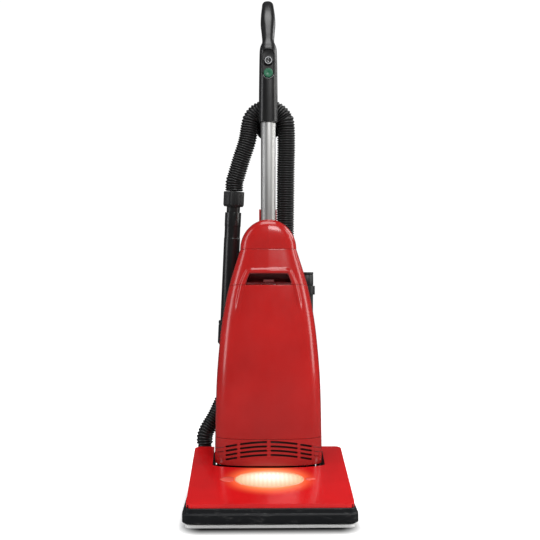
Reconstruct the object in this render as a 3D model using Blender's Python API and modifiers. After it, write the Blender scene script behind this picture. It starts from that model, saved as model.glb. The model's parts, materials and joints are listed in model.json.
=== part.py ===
"""Upright vacuum cleaner: floor head, reclining upright, hose, wand and crevice tool.

Metres, +Z up, +X to the right as seen from the front, and the front faces -Y.
Most places are given as (x, depth, z), where depth is measured back from the
front edge of the base cover, and at() turns them into world coordinates.
"""

import math

import bmesh
import bpy
from mathutils import Matrix, Vector

# ---------------------------------------------------------------- driving dimensions
FRONT_Y = -0.1812  # front edge of the base cover, which puts the box's centre at y = 0
GAP = 0.0003  # between pieces that touch
SEAM = 0.0006  # between the moulded shells
SHELL = 0.0028  # wall of the upright's shells
WALL = 0.0030  # wall of the floor head's mouldings

COVER_HALF = 0.170
COVER_DEPTH = 0.315
COVER_FRONT_Z = 0.050
COVER_SLOPE = 0.178  # rise of the cover's top per metre of depth
SKIRT_Z = 0.0413  # lower edge of the cover
CORNER = 0.014
LOBE_INNER = 0.125  # inner side of the two rear lobes
BAY_FRONT = 0.205  # depth where the bay between the lobes starts at its sides
BAY_BULGE = 0.020  # how far the bay's front edge bows forward

PIVOT_DEPTH = 0.272
PIVOT_Z = 0.062
PIN_R = 0.0110

LENS_DEPTH = 0.123
LENS_HALF = 0.0715
LENS_ASPECT = 0.58

ROLL_DEPTH = 0.045
ROLL_Z = 0.0265
ROLL_R = 0.0155
BRISTLE_R = 0.0240
BELT_X = 0.095
BELT_HALF = 0.005
BELT_THICK = 0.0018
GROOVE_R = 0.0125  # belt groove on the brush roll
PULLEY_R = 0.0080  # belt pulley on the motor shaft

REAR_WHEEL = (0.1495, 0.282, 0.0270)  # x, depth and radius
FRONT_WHEEL = (0.1200, 0.098, 0.0155)
BRACKET = (0.1285, 0.1325)  # x of the plates that carry the pivot pins
PEDAL_PIVOT = (0.3212, 0.0320)  # depth and height of the pedal's pin

DUCT_X = 0.149
DUCT_Z = 0.0785
DUCT_R = 0.0160

BODY_POWER = 3.5  # how square the upright's section is
BODY_MID = 0.262  # depth of the side seam
BODY_CREASE = 0.0035  # how far the front face comes to an edge down its middle
BODY_STATIONS = (  # height, half width, depth of the front, depth of the rear
    (0.0850, 0.1215, 0.1930, 0.3250),
    (0.1500, 0.1208, 0.1930, 0.3250),
    (0.2690, 0.1176, 0.1950, 0.3250),
    (0.3550, 0.1107, 0.1990, 0.3240),
    (0.4170, 0.1027, 0.2040, 0.3220),
    (0.4870, 0.0880, 0.2120, 0.3180),
    (0.5670, 0.0636, 0.2240, 0.3100),
)
COVER_TOP_Z = 0.1450  # top of the motor cover
DOOR_TOP_Z = 0.4870
CAP_Z = 0.5670
DOME_RISE = 0.0680
DOME_MID = 0.258
DOME_POWER = 4  # how square the dome is in side view, against a round arch from the front
DOOR_HINGE = (0.1885, 0.1455)  # depth and height of the line the door tips about

TUBE_DEPTH = 0.270
TUBE_R = 0.0170
TUBE_Z = (0.470, 0.900)
SLEEVE_X = -0.0010
SLEEVE_R = 0.0200
HOOK_Z = 0.972

GRIP_SEAM = 0.0010
GRIP_STATIONS = (  # along the centre line: depth, height, half width, half depth
    (0.2700, 0.8575, 0.0220, 0.0205),
    (0.2700, 0.9400, 0.0212, 0.0205),
    (0.2705, 1.0050, 0.0203, 0.0200),
    (0.2740, 1.0270, 0.0190, 0.0175),
    (0.2790, 1.0420, 0.0140, 0.0145),
    (0.2880, 1.0640, 0.0150, 0.0140),
    (0.3020, 1.0900, 0.0172, 0.0155),
    (0.3210, 1.1160, 0.0162, 0.0150),
    (0.3410, 1.1370, 0.0142, 0.0135),
    (0.3580, 1.1490, 0.0128, 0.0112),
    (0.3680, 1.1535, 0.0070, 0.0058),
)

BUTTON_R = 0.0105
POWER_Z = 0.996
BRUSH_Z = 0.968

WAND_FOOT = (-0.0951, 0.3400, 0.3530)
WAND_HEAD = (-0.0815, 0.3260, 0.6540)
WAND_R = 0.0190

HOSE_R = 0.0215
LOWER_HOSE_R = 0.0195
PORT_X = 0.041
PORT_Z = 0.428
LOOP_R = 0.042
LOOP_Z = 0.854
LOOP_DEPTH = 0.316

TOOL_X = 0.092
TOOL_DEPTH = 0.334

BASE_NAMES = {  # pieces that stay on the floor head
    "base_chassis", "base_cover", "bumper_strip", "sole_plate", "headlight_lens", "headlight_reflector",
    "headlight_bulb", "brush_cap_left", "brush_cap_right", "drive_belt", "front_axle", "front_wheel_left",
    "front_wheel_right", "rear_axle_left", "rear_axle_right", "rear_wheel_left", "rear_wheel_right",
    "pivot_pin_left", "pivot_pin_right", "pedal_pin", "suction_duct", "lower_hose",
}


def at(x, depth, z):
    """World point from x, depth behind the cover's front edge, and height."""
    return Vector((x, FRONT_Y + depth, z))


# ---------------------------------------------------------------- scene and materials
def clear_scene():
    for obj in list(bpy.data.objects):
        bpy.data.objects.remove(obj, do_unlink=True)


def new_collection(name):
    made = bpy.data.collections.new(name)
    bpy.context.scene.collection.children.link(made)
    return made


clear_scene()
PARTS = new_collection("upright_vacuum_cleaner")
CUTTERS = new_collection("cutters")


def principled(name, colour, roughness, metallic=0.0, emission=0.0):
    made = bpy.data.materials.new(name)
    made.use_nodes = True
    made.diffuse_color = (*colour, 1.0)
    shader = made.node_tree.nodes["Principled BSDF"]
    shader.inputs["Base Color"].default_value = (*colour, 1.0)
    shader.inputs["Roughness"].default_value = roughness
    shader.inputs["Metallic"].default_value = metallic
    shader.inputs["Emission Color"].default_value = (*colour, 1.0)
    shader.inputs["Emission Strength"].default_value = emission
    return made


BODY_RED = principled("body_red", (0.46, 0.020, 0.016), 0.22)
COVER_RED = principled("cover_red", (0.60, 0.012, 0.014), 0.20)
BLACK_GLOSS = principled("black_gloss", (0.012, 0.012, 0.013), 0.22)
BLACK_MATTE = principled("black_matte", (0.020, 0.020, 0.021), 0.55)
DARK_RED = principled("dark_red", (0.10, 0.006, 0.006), 0.40)
BUMPER_RUBBER = principled("bumper_rubber", (0.018, 0.019, 0.021), 0.60)
WHEEL_RUBBER = principled("wheel_rubber", (0.030, 0.030, 0.032), 0.70)
HOSE_PLASTIC = principled("hose_plastic", (0.016, 0.016, 0.015), 0.45)
STEEL = principled("steel", (0.55, 0.55, 0.53), 0.32, 1.0)
PLATE_STEEL = principled("plate_steel", (0.62, 0.62, 0.60), 0.35, 1.0)
LENS = principled("lens", (0.98, 0.90, 0.72), 0.10, 0.0, 2.0)
REFLECTOR = principled("reflector", (0.85, 0.85, 0.83), 0.08, 1.0)
BULB = principled("bulb", (1.0, 0.85, 0.55), 0.10, 0.0, 8.0)
BRISTLES = principled("bristles", (0.05, 0.05, 0.05), 0.80)
BELT_RUBBER = principled("belt_rubber", (0.015, 0.015, 0.015), 0.75)
GREEN = principled("green", (0.006, 0.22, 0.085), 0.30)
GREY_PLASTIC = principled("grey_plastic", (0.20, 0.20, 0.21), 0.50)
COPPER = principled("copper", (0.45, 0.20, 0.10), 0.45, 0.6)
FILTER_FOAM = principled("filter_foam", (0.10, 0.10, 0.11), 0.95)
FILTER_PAPER = principled("filter_paper", (0.80, 0.80, 0.76), 0.90)
BAG_CLOTH = principled("bag_cloth", (0.72, 0.70, 0.64), 0.95)


# ---------------------------------------------------------------- shape helpers
def new_object(name, data):
    obj = bpy.data.objects.new(name, data)
    PARTS.objects.link(obj)
    return obj


def paint(obj, material):
    obj.data.materials.clear()
    obj.data.materials.append(material)
    return obj


def smooth(obj, degrees=35):
    obj.data.shade_smooth()
    obj.data.set_sharp_from_angle(angle=math.radians(degrees))
    return obj


def block(name, low, high, bevel=0.0):
    """Block between two corners given as (x, depth, z)."""
    low = at(*low)
    high = at(*high)
    mesh = bpy.data.meshes.new(name)
    made = bmesh.new()
    bmesh.ops.create_cube(made, size=1.0, matrix=Matrix.Diagonal((*(high - low), 1.0)))
    made.to_mesh(mesh)
    made.free()
    obj = new_object(name, mesh)
    obj.location = (low + high) / 2
    if bevel:
        edge = obj.modifiers.new("Bevel", "BEVEL")
        edge.width = bevel
        edge.segments = 2
    return obj


def rod(name, start, end, radius, sides=20):
    """Cylinder between two world points."""
    mesh = bpy.data.meshes.new(name)
    made = bmesh.new()
    bmesh.ops.create_cone(
        made, cap_ends=True, segments=sides, radius1=radius, radius2=radius, depth=(end - start).length
    )
    made.to_mesh(mesh)
    made.free()
    obj = smooth(new_object(name, mesh))
    obj.location = (start + end) / 2
    obj.rotation_euler = (end - start).to_track_quat("Z", "Y").to_euler()
    return obj


def turned(name, profile, origin, direction, sides=24, closed=True):
    """Profile of (radius, height) points spun about the line from origin along direction.

    A closed profile is a ring. An open one starts and ends on the line.
    """
    mesh = bpy.data.meshes.new(name)
    count = len(profile)
    edges = [(i, i + 1) for i in range(count - 1)]
    if closed:
        edges.append((count - 1, 0))
    mesh.from_pydata([(radius, 0.0, height) for radius, height in profile], edges, [])
    obj = new_object(name, mesh)
    spin = obj.modifiers.new("Screw", "SCREW")
    spin.steps = sides
    spin.render_steps = sides
    spin.use_merge_vertices = True
    spin.merge_threshold = 0.00001
    spin.use_smooth_shade = True
    obj.location = origin
    obj.rotation_euler = direction.to_track_quat("Z", "Y").to_euler()
    return obj


def mesh_from_curve(curve_object):
    """The curve's evaluated shape as a mesh object with its caps welded on."""
    graph = bpy.context.evaluated_depsgraph_get()
    graph.update()
    mesh = bpy.data.meshes.new_from_object(curve_object.evaluated_get(graph))
    made = bmesh.new()
    made.from_mesh(mesh)
    bmesh.ops.remove_doubles(made, verts=made.verts, dist=0.00001)
    bmesh.ops.recalc_face_normals(made, faces=made.faces)
    made.to_mesh(mesh)
    made.free()
    name = curve_object.name
    placed = curve_object.matrix_world.copy()
    bpy.data.objects.remove(curve_object, do_unlink=True)
    obj = new_object(name, mesh)
    obj.matrix_world = placed
    return obj


def slab(name, outlines, low, high, across=False):
    """Outline in the XY plane raised from low to high, or, across, in the YZ plane along X."""
    curve = bpy.data.curves.new(name, "CURVE")
    curve.dimensions = "2D"
    curve.fill_mode = "BOTH"
    curve.extrude = (high - low) / 2
    for outline in outlines:
        spline = curve.splines.new("POLY")
        spline.points.add(len(outline) - 1)
        for point, place in zip(spline.points, outline):
            point.co = (place[0], place[1], 0.0, 1.0)
        spline.use_cyclic_u = True
    obj = new_object(name, curve)
    middle = (low + high) / 2
    if across:
        turn = Matrix(((0, 0, 1), (1, 0, 0), (0, 1, 0))).to_4x4()
        obj.matrix_world = Matrix.Translation((middle, 0, 0)) @ turn
    else:
        obj.location = (0, 0, middle)
    return mesh_from_curve(obj)


def tube(name, points, radius, resolution=2):
    """Round tube through world points, a curve with filled caps."""
    curve = bpy.data.curves.new(name, "CURVE")
    curve.dimensions = "3D"
    curve.bevel_depth = radius
    curve.bevel_resolution = resolution
    curve.use_fill_caps = True
    spline = curve.splines.new("POLY")
    spline.points.add(len(points) - 1)
    for point, place in zip(spline.points, points):
        point.co = (*place, 1.0)
    return new_object(name, curve)


def hollow_tube(name, points, radius, bore):
    """Tube with a bore that runs out of both ends."""
    first = (points[0] - points[1]).normalized()
    last = (points[-1] - points[-2]).normalized()
    inner = [points[0] + first * 0.002, *points[1:-1], points[-1] + last * 0.002]
    obj = mesh_from_curve(tube(name, points, radius, 3))
    cut(obj, mesh_from_curve(tube(name + "_bore", inner, bore, 3)))
    return smooth(obj)


def sweep(name, path, section, z):
    """Closed section carried along a level path of world (x, y) points."""
    curve = bpy.data.curves.new(name + "_section", "CURVE")
    curve.dimensions = "2D"
    spline = curve.splines.new("POLY")
    spline.points.add(len(section) - 1)
    for point, place in zip(spline.points, section):
        point.co = (*place, 0.0, 1.0)
    spline.use_cyclic_u = True
    profile = as_helper(new_object(name + "_section", curve))
    route = bpy.data.curves.new(name, "CURVE")
    route.dimensions = "2D"
    route.fill_mode = "NONE"
    route.bevel_mode = "OBJECT"
    route.bevel_object = profile
    route.use_fill_caps = True
    spline = route.splines.new("POLY")
    spline.points.add(len(path) - 1)
    for point, place in zip(spline.points, path):
        point.co = (*place, 0.0, 1.0)
    obj = new_object(name, route)
    obj.location = (0, 0, z)
    return mesh_from_curve(obj)


def grid(name, rows, wall, ring=False, closed_top=False):
    """Open surface through rows of world points, thickened inwards by wall."""
    mesh = bpy.data.meshes.new(name)
    width = len(rows[0])
    faces = []
    for row in range(len(rows) - 1):
        for column in range(width if ring else width - 1):
            after = (column + 1) % width
            low = row * width
            high = low + width
            faces.append((low + column, low + after, high + after, high + column))
    if closed_top:
        last = (len(rows) - 1) * width
        faces.append(tuple(last + column for column in range(width)))
    mesh.from_pydata([point for row in rows for point in row], [], faces)
    obj = smooth(new_object(name, mesh), 50)
    skin = obj.modifiers.new("Solidify", "SOLIDIFY")
    skin.thickness = wall
    skin.offset = -1.0
    return obj


def loft(name, rings):
    """Closed solid through rings of world points, lowest first, each anticlockwise from above."""
    mesh = bpy.data.meshes.new(name)
    width = len(rings[0])
    faces = [tuple(reversed(range(width)))]
    for row in range(len(rings) - 1):
        for column in range(width):
            after = (column + 1) % width
            low = row * width
            high = low + width
            faces.append((low + column, low + after, high + after, high + column))
    last = (len(rings) - 1) * width
    faces.append(tuple(last + column for column in range(width)))
    mesh.from_pydata([point for ring in rings for point in ring], [], faces)
    return smooth(new_object(name, mesh))


def as_helper(obj):
    """Takes an object out of the model: it only cuts, joins or guides another."""
    PARTS.objects.unlink(obj)
    CUTTERS.objects.link(obj)
    obj.hide_render = True
    obj.display_type = "WIRE"
    return obj


def combine(obj, other, operation):
    step = obj.modifiers.new(operation.title(), "BOOLEAN")
    step.operation = operation
    step.solver = "EXACT"
    step.object = as_helper(other)
    return obj


def cut(obj, *cutters):
    for cutter in cutters:
        combine(obj, cutter, "DIFFERENCE")
    return obj


def join(obj, *others):
    for other in others:
        combine(obj, other, "UNION")
    return obj


# ---------------------------------------------------------------- outlines and curves
def arc(centre_x, centre_y, radius, first, last, steps):
    """Points on an arc from first to last degrees."""
    found = []
    for step in range(steps + 1):
        angle = math.radians(first + (last - first) * step / steps)
        found.append((centre_x + radius * math.cos(angle), centre_y + radius * math.sin(angle)))
    return found


def rounded_rectangle(x0, y0, x1, y1, radius, steps=4):
    return (
        arc(x1 - radius, y1 - radius, radius, 0, 90, steps)
        + arc(x0 + radius, y1 - radius, radius, 90, 180, steps)
        + arc(x0 + radius, y0 + radius, radius, 180, 270, steps)
        + arc(x1 - radius, y0 + radius, radius, 270, 360, steps)
    )


def stadium(x, y, half_width, half_height, steps=8):
    """Upright slot outline with round ends."""
    straight = half_height - half_width
    top = arc(x, y + straight, half_width, 0, 180, steps)
    bottom = arc(x, y - straight, half_width, 180, 360, steps)
    return top + bottom


def belt_loop(y0, z0, r0, y1, z1, r1, steps=10):
    """Outline of a belt round two pulleys, as (y, z) points. The first pulley is in front."""
    span = math.hypot(y1 - y0, z1 - z0)
    lean = math.degrees(math.atan2(z1 - z0, y1 - y0))
    spread = math.degrees(math.acos((r0 - r1) / span))
    front = arc(y0, z0, r0, lean + spread, lean + 360 - spread, steps)
    rear = arc(y1, z1, r1, lean - spread, lean + spread, steps)
    return front + rear


def smooth_route(points, spacing):
    """World points about spacing apart on a Catmull-Rom curve through the given ones."""
    ends = [points[0] * 2 - points[1], *points, points[-1] * 2 - points[-2]]
    fine = []
    for before, start, end, after in zip(ends, ends[1:], ends[2:], ends[3:]):
        for step in range(16):
            t = step / 16
            fine.append(
                0.5
                * (
                    2 * start
                    + (end - before) * t
                    + (2 * before - 5 * start + 4 * end - after) * t**2
                    + (3 * start - before - 3 * end + after) * t**3
                )
            )
    fine.append(points[-1])
    lengths = [0.0]
    for first, second in zip(fine, fine[1:]):
        lengths.append(lengths[-1] + (second - first).length)
    count = max(2, round(lengths[-1] / spacing))
    route = []
    index = 0
    for step in range(count + 1):
        wanted = lengths[-1] * step / count
        while index < len(fine) - 2 and lengths[index + 1] < wanted:
            index += 1
        part = (wanted - lengths[index]) / (lengths[index + 1] - lengths[index])
        route.append(fine[index].lerp(fine[index + 1], part))
    return route


def blended(stations, z):
    """Smooth values at height z between stations whose first entry is the height."""
    z = min(max(z, stations[0][0]), stations[-1][0])
    index = 0
    while index < len(stations) - 2 and stations[index + 1][0] < z:
        index += 1
    low = stations[index]
    high = stations[index + 1]
    span = high[0] - low[0]
    t = (z - low[0]) / span

    def slope(at_index, entry):
        before = stations[max(at_index - 1, 0)]
        after = stations[min(at_index + 1, len(stations) - 1)]
        return (after[entry] - before[entry]) / (after[0] - before[0])

    values = []
    for entry in range(1, len(low)):
        rise = t * t * (3 - 2 * t)
        values.append(
            low[entry] * (1 - rise)
            + high[entry] * rise
            + span * slope(index, entry) * t * (1 - t) ** 2
            - span * slope(index + 1, entry) * t * t * (1 - t)
        )
    return values


def body_point(angle, z, rear=False, inset=0.0):
    """Point of the upright's section at height z: angle 0 is the middle, 90 degrees the +X side."""
    half, front, back = blended(BODY_STATIONS, z)
    half -= inset
    sine = math.sin(angle)
    across = math.copysign(abs(sine) ** (2 / BODY_POWER), sine)
    reach = abs(math.cos(angle)) ** (2 / BODY_POWER)
    if rear:
        middle = BODY_MID + SEAM / 2
        return at(half * across, middle + (back - inset - middle) * reach, z)
    middle = BODY_MID - SEAM / 2
    crease = BODY_CREASE * (1 - abs(across))
    return at(half * across, middle - (middle - front - inset) * reach - crease, z)


def front_angles(steps=12):
    return [math.radians(-90 + 180 * step / steps) for step in range(steps + 1)]


def door_seam(angle, offset):
    """Height of the door's top seam: an arc about the door's hinge line, so that the door can tip."""
    hinge = at(0, *DOOR_HINGE)
    front = body_point(0.0, DOOR_TOP_Z)
    radius = math.hypot(front.y - hinge.y, front.z - hinge.z) + offset
    place = body_point(angle, DOOR_TOP_Z)
    return hinge.z + math.sqrt(radius**2 - (place.y - hinge.y) ** 2)


def front_shell(name, low, high, rows):
    """Front piece of the upright between two seams, each a height for every angle."""
    found = []
    for row in range(rows + 1):
        t = row / rows
        line = []
        for angle in front_angles():
            z = low(angle) * (1 - t) + high(angle) * t
            line.append(body_point(angle, z))
        found.append(line)
    return grid(name, found, SHELL)


# ---------------------------------------------------------------- floor head
def slope_cutter(name, drop):
    """Everything above the cover's sloping top, lowered by drop."""
    lean = math.atan(COVER_SLOPE)
    obj = block(name, (-0.25, -0.10, 0.0), (0.25, 0.45, 0.10))
    centre = at(0.0, 0.15, COVER_FRONT_Z + 0.15 * COVER_SLOPE - drop)
    obj.location = centre + Vector((0, -math.sin(lean), math.cos(lean))) * 0.05
    obj.rotation_euler = (lean, 0, 0)
    return obj


def bay_front_arc(half, front, bulge, steps=10):
    """Bowed front edge of the bay, from +X to -X."""
    found = []
    for step in range(steps + 1):
        angle = math.pi * step / steps
        found.append((half * math.cos(angle), FRONT_Y + front - bulge * math.sin(angle)))
    return found


def cavity_outline():
    """Room inside the cover's walls, a U round the bay."""
    side = COVER_HALF - WALL
    inner = LOBE_INNER + WALL
    front = FRONT_Y + WALL
    rear = FRONT_Y + COVER_DEPTH - WALL
    arch = bay_front_arc(inner, BAY_FRONT - WALL, BAY_BULGE)
    return [(-side, front), (side, front), (side, rear), (inner, rear), *arch, (-inner, rear), (-side, rear)]


def lens_frame():
    """Placement of the headlight, on the cover's slope."""
    lean = math.atan(COVER_SLOPE)
    centre = at(0.0, LENS_DEPTH, COVER_FRONT_Z + LENS_DEPTH * COVER_SLOPE)
    return centre, lean


def headlight_piece(name, profile, sides, closed=True, aspect=LENS_ASPECT):
    centre, lean = lens_frame()
    obj = turned(name, profile, centre, Vector((0, 0, 1)), sides, closed)
    obj.rotation_euler = (lean, 0, 0)
    obj.scale = (1.0, aspect, 1.0)
    return obj


def build_cover():
    rear = FRONT_Y + COVER_DEPTH
    outline = rounded_rectangle(-COVER_HALF, FRONT_Y, COVER_HALF, rear, CORNER)
    cover = slab("base_cover", [outline], SKIRT_Z, 0.118)
    cut(cover, slope_cutter("cover_slope", 0.0))
    edge = cover.modifiers.new("Bevel", "BEVEL")
    edge.width = 0.004
    edge.segments = 2
    edge.limit_method = "ANGLE"
    edge.angle_limit = math.radians(50)
    cavity = slab("cover_cavity", [cavity_outline()], SKIRT_Z - 0.01, 0.118)
    cut(cavity, slope_cutter("cavity_slope", WALL))
    bay = bay_front_arc(LOBE_INNER, BAY_FRONT, BAY_BULGE)
    bay += [(-LOBE_INNER, rear + 0.01), (LOBE_INNER, rear + 0.01)]
    cut(cover, cavity, slab("cover_bay", [bay], SKIRT_Z - 0.01, 0.13))
    hole = [(LENS_HALF + 0.0006, 0.02), (LENS_HALF + 0.0006, -0.02)]
    cut(cover, headlight_piece("lens_hole", [(0.0, 0.02), *hole, (0.0, -0.02)], 32, closed=False))
    room = PIN_R + 0.001
    for side in (-1, 1):
        inner, outer = sorted((side * (LOBE_INNER - 0.002), side * (LOBE_INNER + WALL + 0.002)))
        low = (inner, PIVOT_DEPTH - room, SKIRT_Z - 0.01)
        cut(cover, block("pin_slot", low, (outer, PIVOT_DEPTH + room, PIVOT_Z + room)))
    low = (BELT_X - 0.010, 0.175, SKIRT_Z - 0.01)
    cut(cover, block("belt_slot", low, (BELT_X + 0.010, 0.215, 0.078)))
    start = at(-DUCT_X, COVER_DEPTH - 0.010, DUCT_Z)
    cut(cover, rod("duct_hole", start, start + Vector((0, 0.020, 0)), DUCT_R + 0.0006))
    return paint(smooth(cover), COVER_RED)


def build_chassis():
    side = COVER_HALF - GAP
    front = FRONT_Y + GAP
    rear = FRONT_Y + COVER_DEPTH - GAP
    outline = rounded_rectangle(-side, front, side, rear, CORNER)
    inside = rounded_rectangle(-side + WALL, front + WALL, side - WALL, rear - WALL, CORNER - WALL)
    floor = 0.0093
    chassis = slab("base_chassis", [outline], floor, SKIRT_Z - GAP)
    cut(chassis, slab("tray", [inside], floor + WALL, 0.06))
    tunnel = block("tunnel_wall", (-0.1662, 0.078, 0.0113), (0.1662, 0.081, 0.052))
    bay = block("bay_wall", (-0.1275, 0.1815, 0.0113), (0.1275, 0.1840, 0.0405))
    join(chassis, tunnel, bay)
    for way in (-1, 1):
        inner, outer = sorted((way * BRACKET[0], way * BRACKET[1]))
        join(chassis, block("bracket", (inner, 0.240, 0.0113), (outer, 0.3110, 0.0850)))
        inner, outer = sorted((way * 0.104, way * 0.108))
        join(chassis, block("axle_rib", (inner, 0.090, 0.0113), (outer, 0.106, 0.0200)))
    for x in (0.1310, 0.1610):
        join(chassis, block("pedal_ear", (x, 0.3120, 0.0240), (x + 0.0030, 0.3270, 0.0400)))
    cut(chassis, block("mouth", (-0.150, 0.012, 0.0), (0.150, 0.0775, 0.030)))
    cut(chassis, block("bay_rear", (-LOBE_INNER, 0.300, 0.0123), (LOBE_INNER, 0.325, 0.060)))
    for way in (-1, 1):
        for x, depth, radius in (REAR_WHEEL, FRONT_WHEEL):
            half = 0.0120 if radius > 0.02 else 0.0085
            low = (way * x - half, depth - radius - 0.002, 0.0)
            cut(chassis, block("wheel_slot", low, (way * x + half, depth + radius + 0.002, 0.0200)))
        start = at(way * 0.120, PIVOT_DEPTH, PIVOT_Z)
        pin = rod("pin_hole", start, at(way * 0.136, PIVOT_DEPTH, PIVOT_Z), PIN_R)
        pin.scale = (1.03, 1.03, 1.0)
        cut(chassis, pin)
    cut(chassis, block("belt_way", (BELT_X - 0.009, 0.070, 0.0140), (BELT_X + 0.009, 0.200, 0.060)))
    start = duct_route()[0]
    reach = Vector((0, 0.02, 0.004))
    cut(chassis, rod("duct_mouth", start - reach, start + reach, DUCT_R + 0.001))
    x, depth, radius = FRONT_WHEEL
    cut(chassis, rod("axle_hole", at(-0.12, depth, radius), at(0.12, depth, radius), 0.0029, 12))
    cut(chassis, rod("pedal_hole", at(0.126, *PEDAL_PIVOT), at(0.168, *PEDAL_PIVOT), 0.0024, 12))
    return paint(chassis, BLACK_MATTE)


def duct_route():
    """Suction duct from the brush tunnel through the left lobe, then up behind it."""
    inside = [at(-DUCT_X, 0.0830, 0.0400), at(-DUCT_X, 0.1500, 0.0550), at(-DUCT_X, 0.2150, 0.0670)]
    bend = []
    for y, z in arc(0.3185, DUCT_Z + 0.0250, 0.0250, -90, 0, 5):
        bend.append(at(-DUCT_X, y, z))
    return [*inside, at(-DUCT_X, 0.2750, 0.0765), *bend, at(-DUCT_X, 0.3435, DUCT_Z + 0.0290)]


def build_base_fittings():
    profile = [(0.0, 0.0060), (0.0350, 0.0052), (0.0600, 0.0030), (LENS_HALF, 0.0), (LENS_HALF, -0.0018)]
    paint(headlight_piece("headlight_lens", [*profile, (0.0, -0.0018)], 32, closed=False), LENS)
    bowl = [(0.0700, -0.0034), (0.0520, -0.0150), (0.0105, -0.0190)]
    bowl += [(0.0105, -0.0172), (0.0505, -0.0134), (0.0670, -0.0034)]
    paint(headlight_piece("headlight_reflector", bowl, 28), REFLECTOR)
    bulb = [(0.0, -0.0050), (0.0035, -0.0065), (0.0050, -0.0110), (0.0040, -0.0160), (0.0040, -0.0290)]
    paint(headlight_piece("headlight_bulb", [*bulb, (0.0, -0.0290)], 14, closed=False, aspect=1.0), BULB)

    side = COVER_HALF + GAP - 0.0001
    nose = FRONT_Y - 0.0002
    radius = CORNER
    rear = FRONT_Y + 0.215
    path = [(-side, rear), *arc(-side + radius, nose + radius, radius, 180, 270, 4)]
    path += [*arc(side - radius, nose + radius, radius, 270, 360, 4), (side, rear)]
    section = [(0.0, 0.0110), (0.0080, 0.0120), (0.0080, 0.0300), (0.0032, 0.0306)]
    section += [(0.0032, 0.0410), (0.0, 0.0410)]
    paint(sweep("bumper_strip", path, section, 0.0), BUMPER_RUBBER)

    plate = rounded_rectangle(-0.1720, FRONT_Y - 0.0030, 0.1720, FRONT_Y + 0.0800, CORNER)
    mouth = rounded_rectangle(-0.1480, FRONT_Y + 0.0140, 0.1480, FRONT_Y + 0.0750, 0.006)
    paint(slab("sole_plate", [plate, mouth], 0.0022, 0.0088), PLATE_STEEL)

    paint(hollow_tube("suction_duct", duct_route(), DUCT_R, 0.0130), BLACK_MATTE)
    for way, name in ((-1, "pivot_pin_left"), (1, "pivot_pin_right")):
        start = at(way * 0.1100, PIVOT_DEPTH, PIVOT_Z)
        paint(rod(name, start, at(way * 0.1330, PIVOT_DEPTH, PIVOT_Z), PIN_R - 0.0001), STEEL)
    barrel = rod("release_pedal", at(0.1346, *PEDAL_PIVOT), at(0.1604, *PEDAL_PIVOT), 0.0050, 16)
    lever = block("pedal_lever", (0.1360, 0.3230, 0.0330), (0.1590, 0.3570, 0.0370), 0.0012)
    pad = block("pedal_pad", (0.1340, 0.3390, 0.0340), (0.1605, 0.3590, 0.0400), 0.0018)
    bore = rod("pedal_bore", at(0.130, *PEDAL_PIVOT), at(0.165, *PEDAL_PIVOT), 0.0025, 12)
    paint(cut(join(barrel, lever, pad), bore), BLACK_GLOSS)
    paint(rod("pedal_pin", at(0.1308, *PEDAL_PIVOT), at(0.1642, *PEDAL_PIVOT), 0.0021, 12), STEEL)


def wheel(name, x, depth, radius, half, bore):
    """Wheel about an axle along X, with a rounded tread."""
    chamfer = radius * 0.08
    profile = [(bore, half), (radius - chamfer, half), (radius, half - chamfer)]
    profile += [(radius, -half + chamfer), (radius - chamfer, -half), (bore, -half)]
    obj = turned(name, profile, at(x, depth, radius), Vector((1, 0, 0)), 20)
    return paint(obj, WHEEL_RUBBER)


def build_wheels():
    x, depth, radius = REAR_WHEEL
    for way, name in ((-1, "left"), (1, "right")):
        wheel("rear_wheel_" + name, way * x, depth, radius, 0.0100, 0.0033)
        start = at(way * 0.1329, depth, radius)
        paint(rod("rear_axle_" + name, start, at(way * 0.1664, depth, radius), 0.0030, 16), STEEL)
    x, depth, radius = FRONT_WHEEL
    for way, name in ((-1, "left"), (1, "right")):
        wheel("front_wheel_" + name, way * x, depth, radius, 0.0070, 0.0028)
    paint(rod("front_axle", at(-0.1290, depth, radius), at(0.1290, depth, radius), 0.0025, 12), STEEL)


def build_brush():
    groove = (BELT_X - BELT_HALF - 0.001, BELT_X + BELT_HALF + 0.001)
    profile = [(0.0, 0.1490), (0.0040, 0.1490), (0.0040, 0.1425), (ROLL_R, 0.1425), (ROLL_R, groove[1])]
    profile += [(GROOVE_R, groove[1]), (GROOVE_R, groove[0]), (ROLL_R, groove[0])]
    profile += [(ROLL_R, -0.1425), (0.0040, -0.1425), (0.0040, -0.1490), (0.0, -0.1490)]
    roll = turned("brush_roll", profile, at(0, ROLL_DEPTH, ROLL_Z), Vector((1, 0, 0)), 20, closed=False)
    for low, high in ((-0.1400, groove[0] - 0.004), (groove[1] + 0.004, 0.1400)):
        corner = (high, ROLL_DEPTH + 0.003, ROLL_Z + BRISTLE_R)
        join(roll, block("bristle_blade", (low, ROLL_DEPTH - 0.003, ROLL_Z - BRISTLE_R), corner))
    paint(roll, BRISTLES)
    for way, name in ((-1, "left"), (1, "right")):
        cap = [(0.0043, 0.0031), (0.0170, 0.0031), (0.0170, -0.0031), (0.0043, -0.0031)]
        centre = at(way * 0.1465, ROLL_DEPTH, ROLL_Z)
        paint(turned("brush_cap_" + name, cap, centre, Vector((1, 0, 0)), 20), GREY_PLASTIC)

    loops = []
    for extra in (GAP + BELT_THICK, GAP):
        front = (FRONT_Y + ROLL_DEPTH, ROLL_Z, GROOVE_R + extra)
        loops.append(belt_loop(*front, FRONT_Y + PIVOT_DEPTH, PIVOT_Z, PULLEY_R + extra))
    paint(slab("drive_belt", loops, BELT_X - BELT_HALF, BELT_X + BELT_HALF, across=True), BELT_RUBBER)


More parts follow.
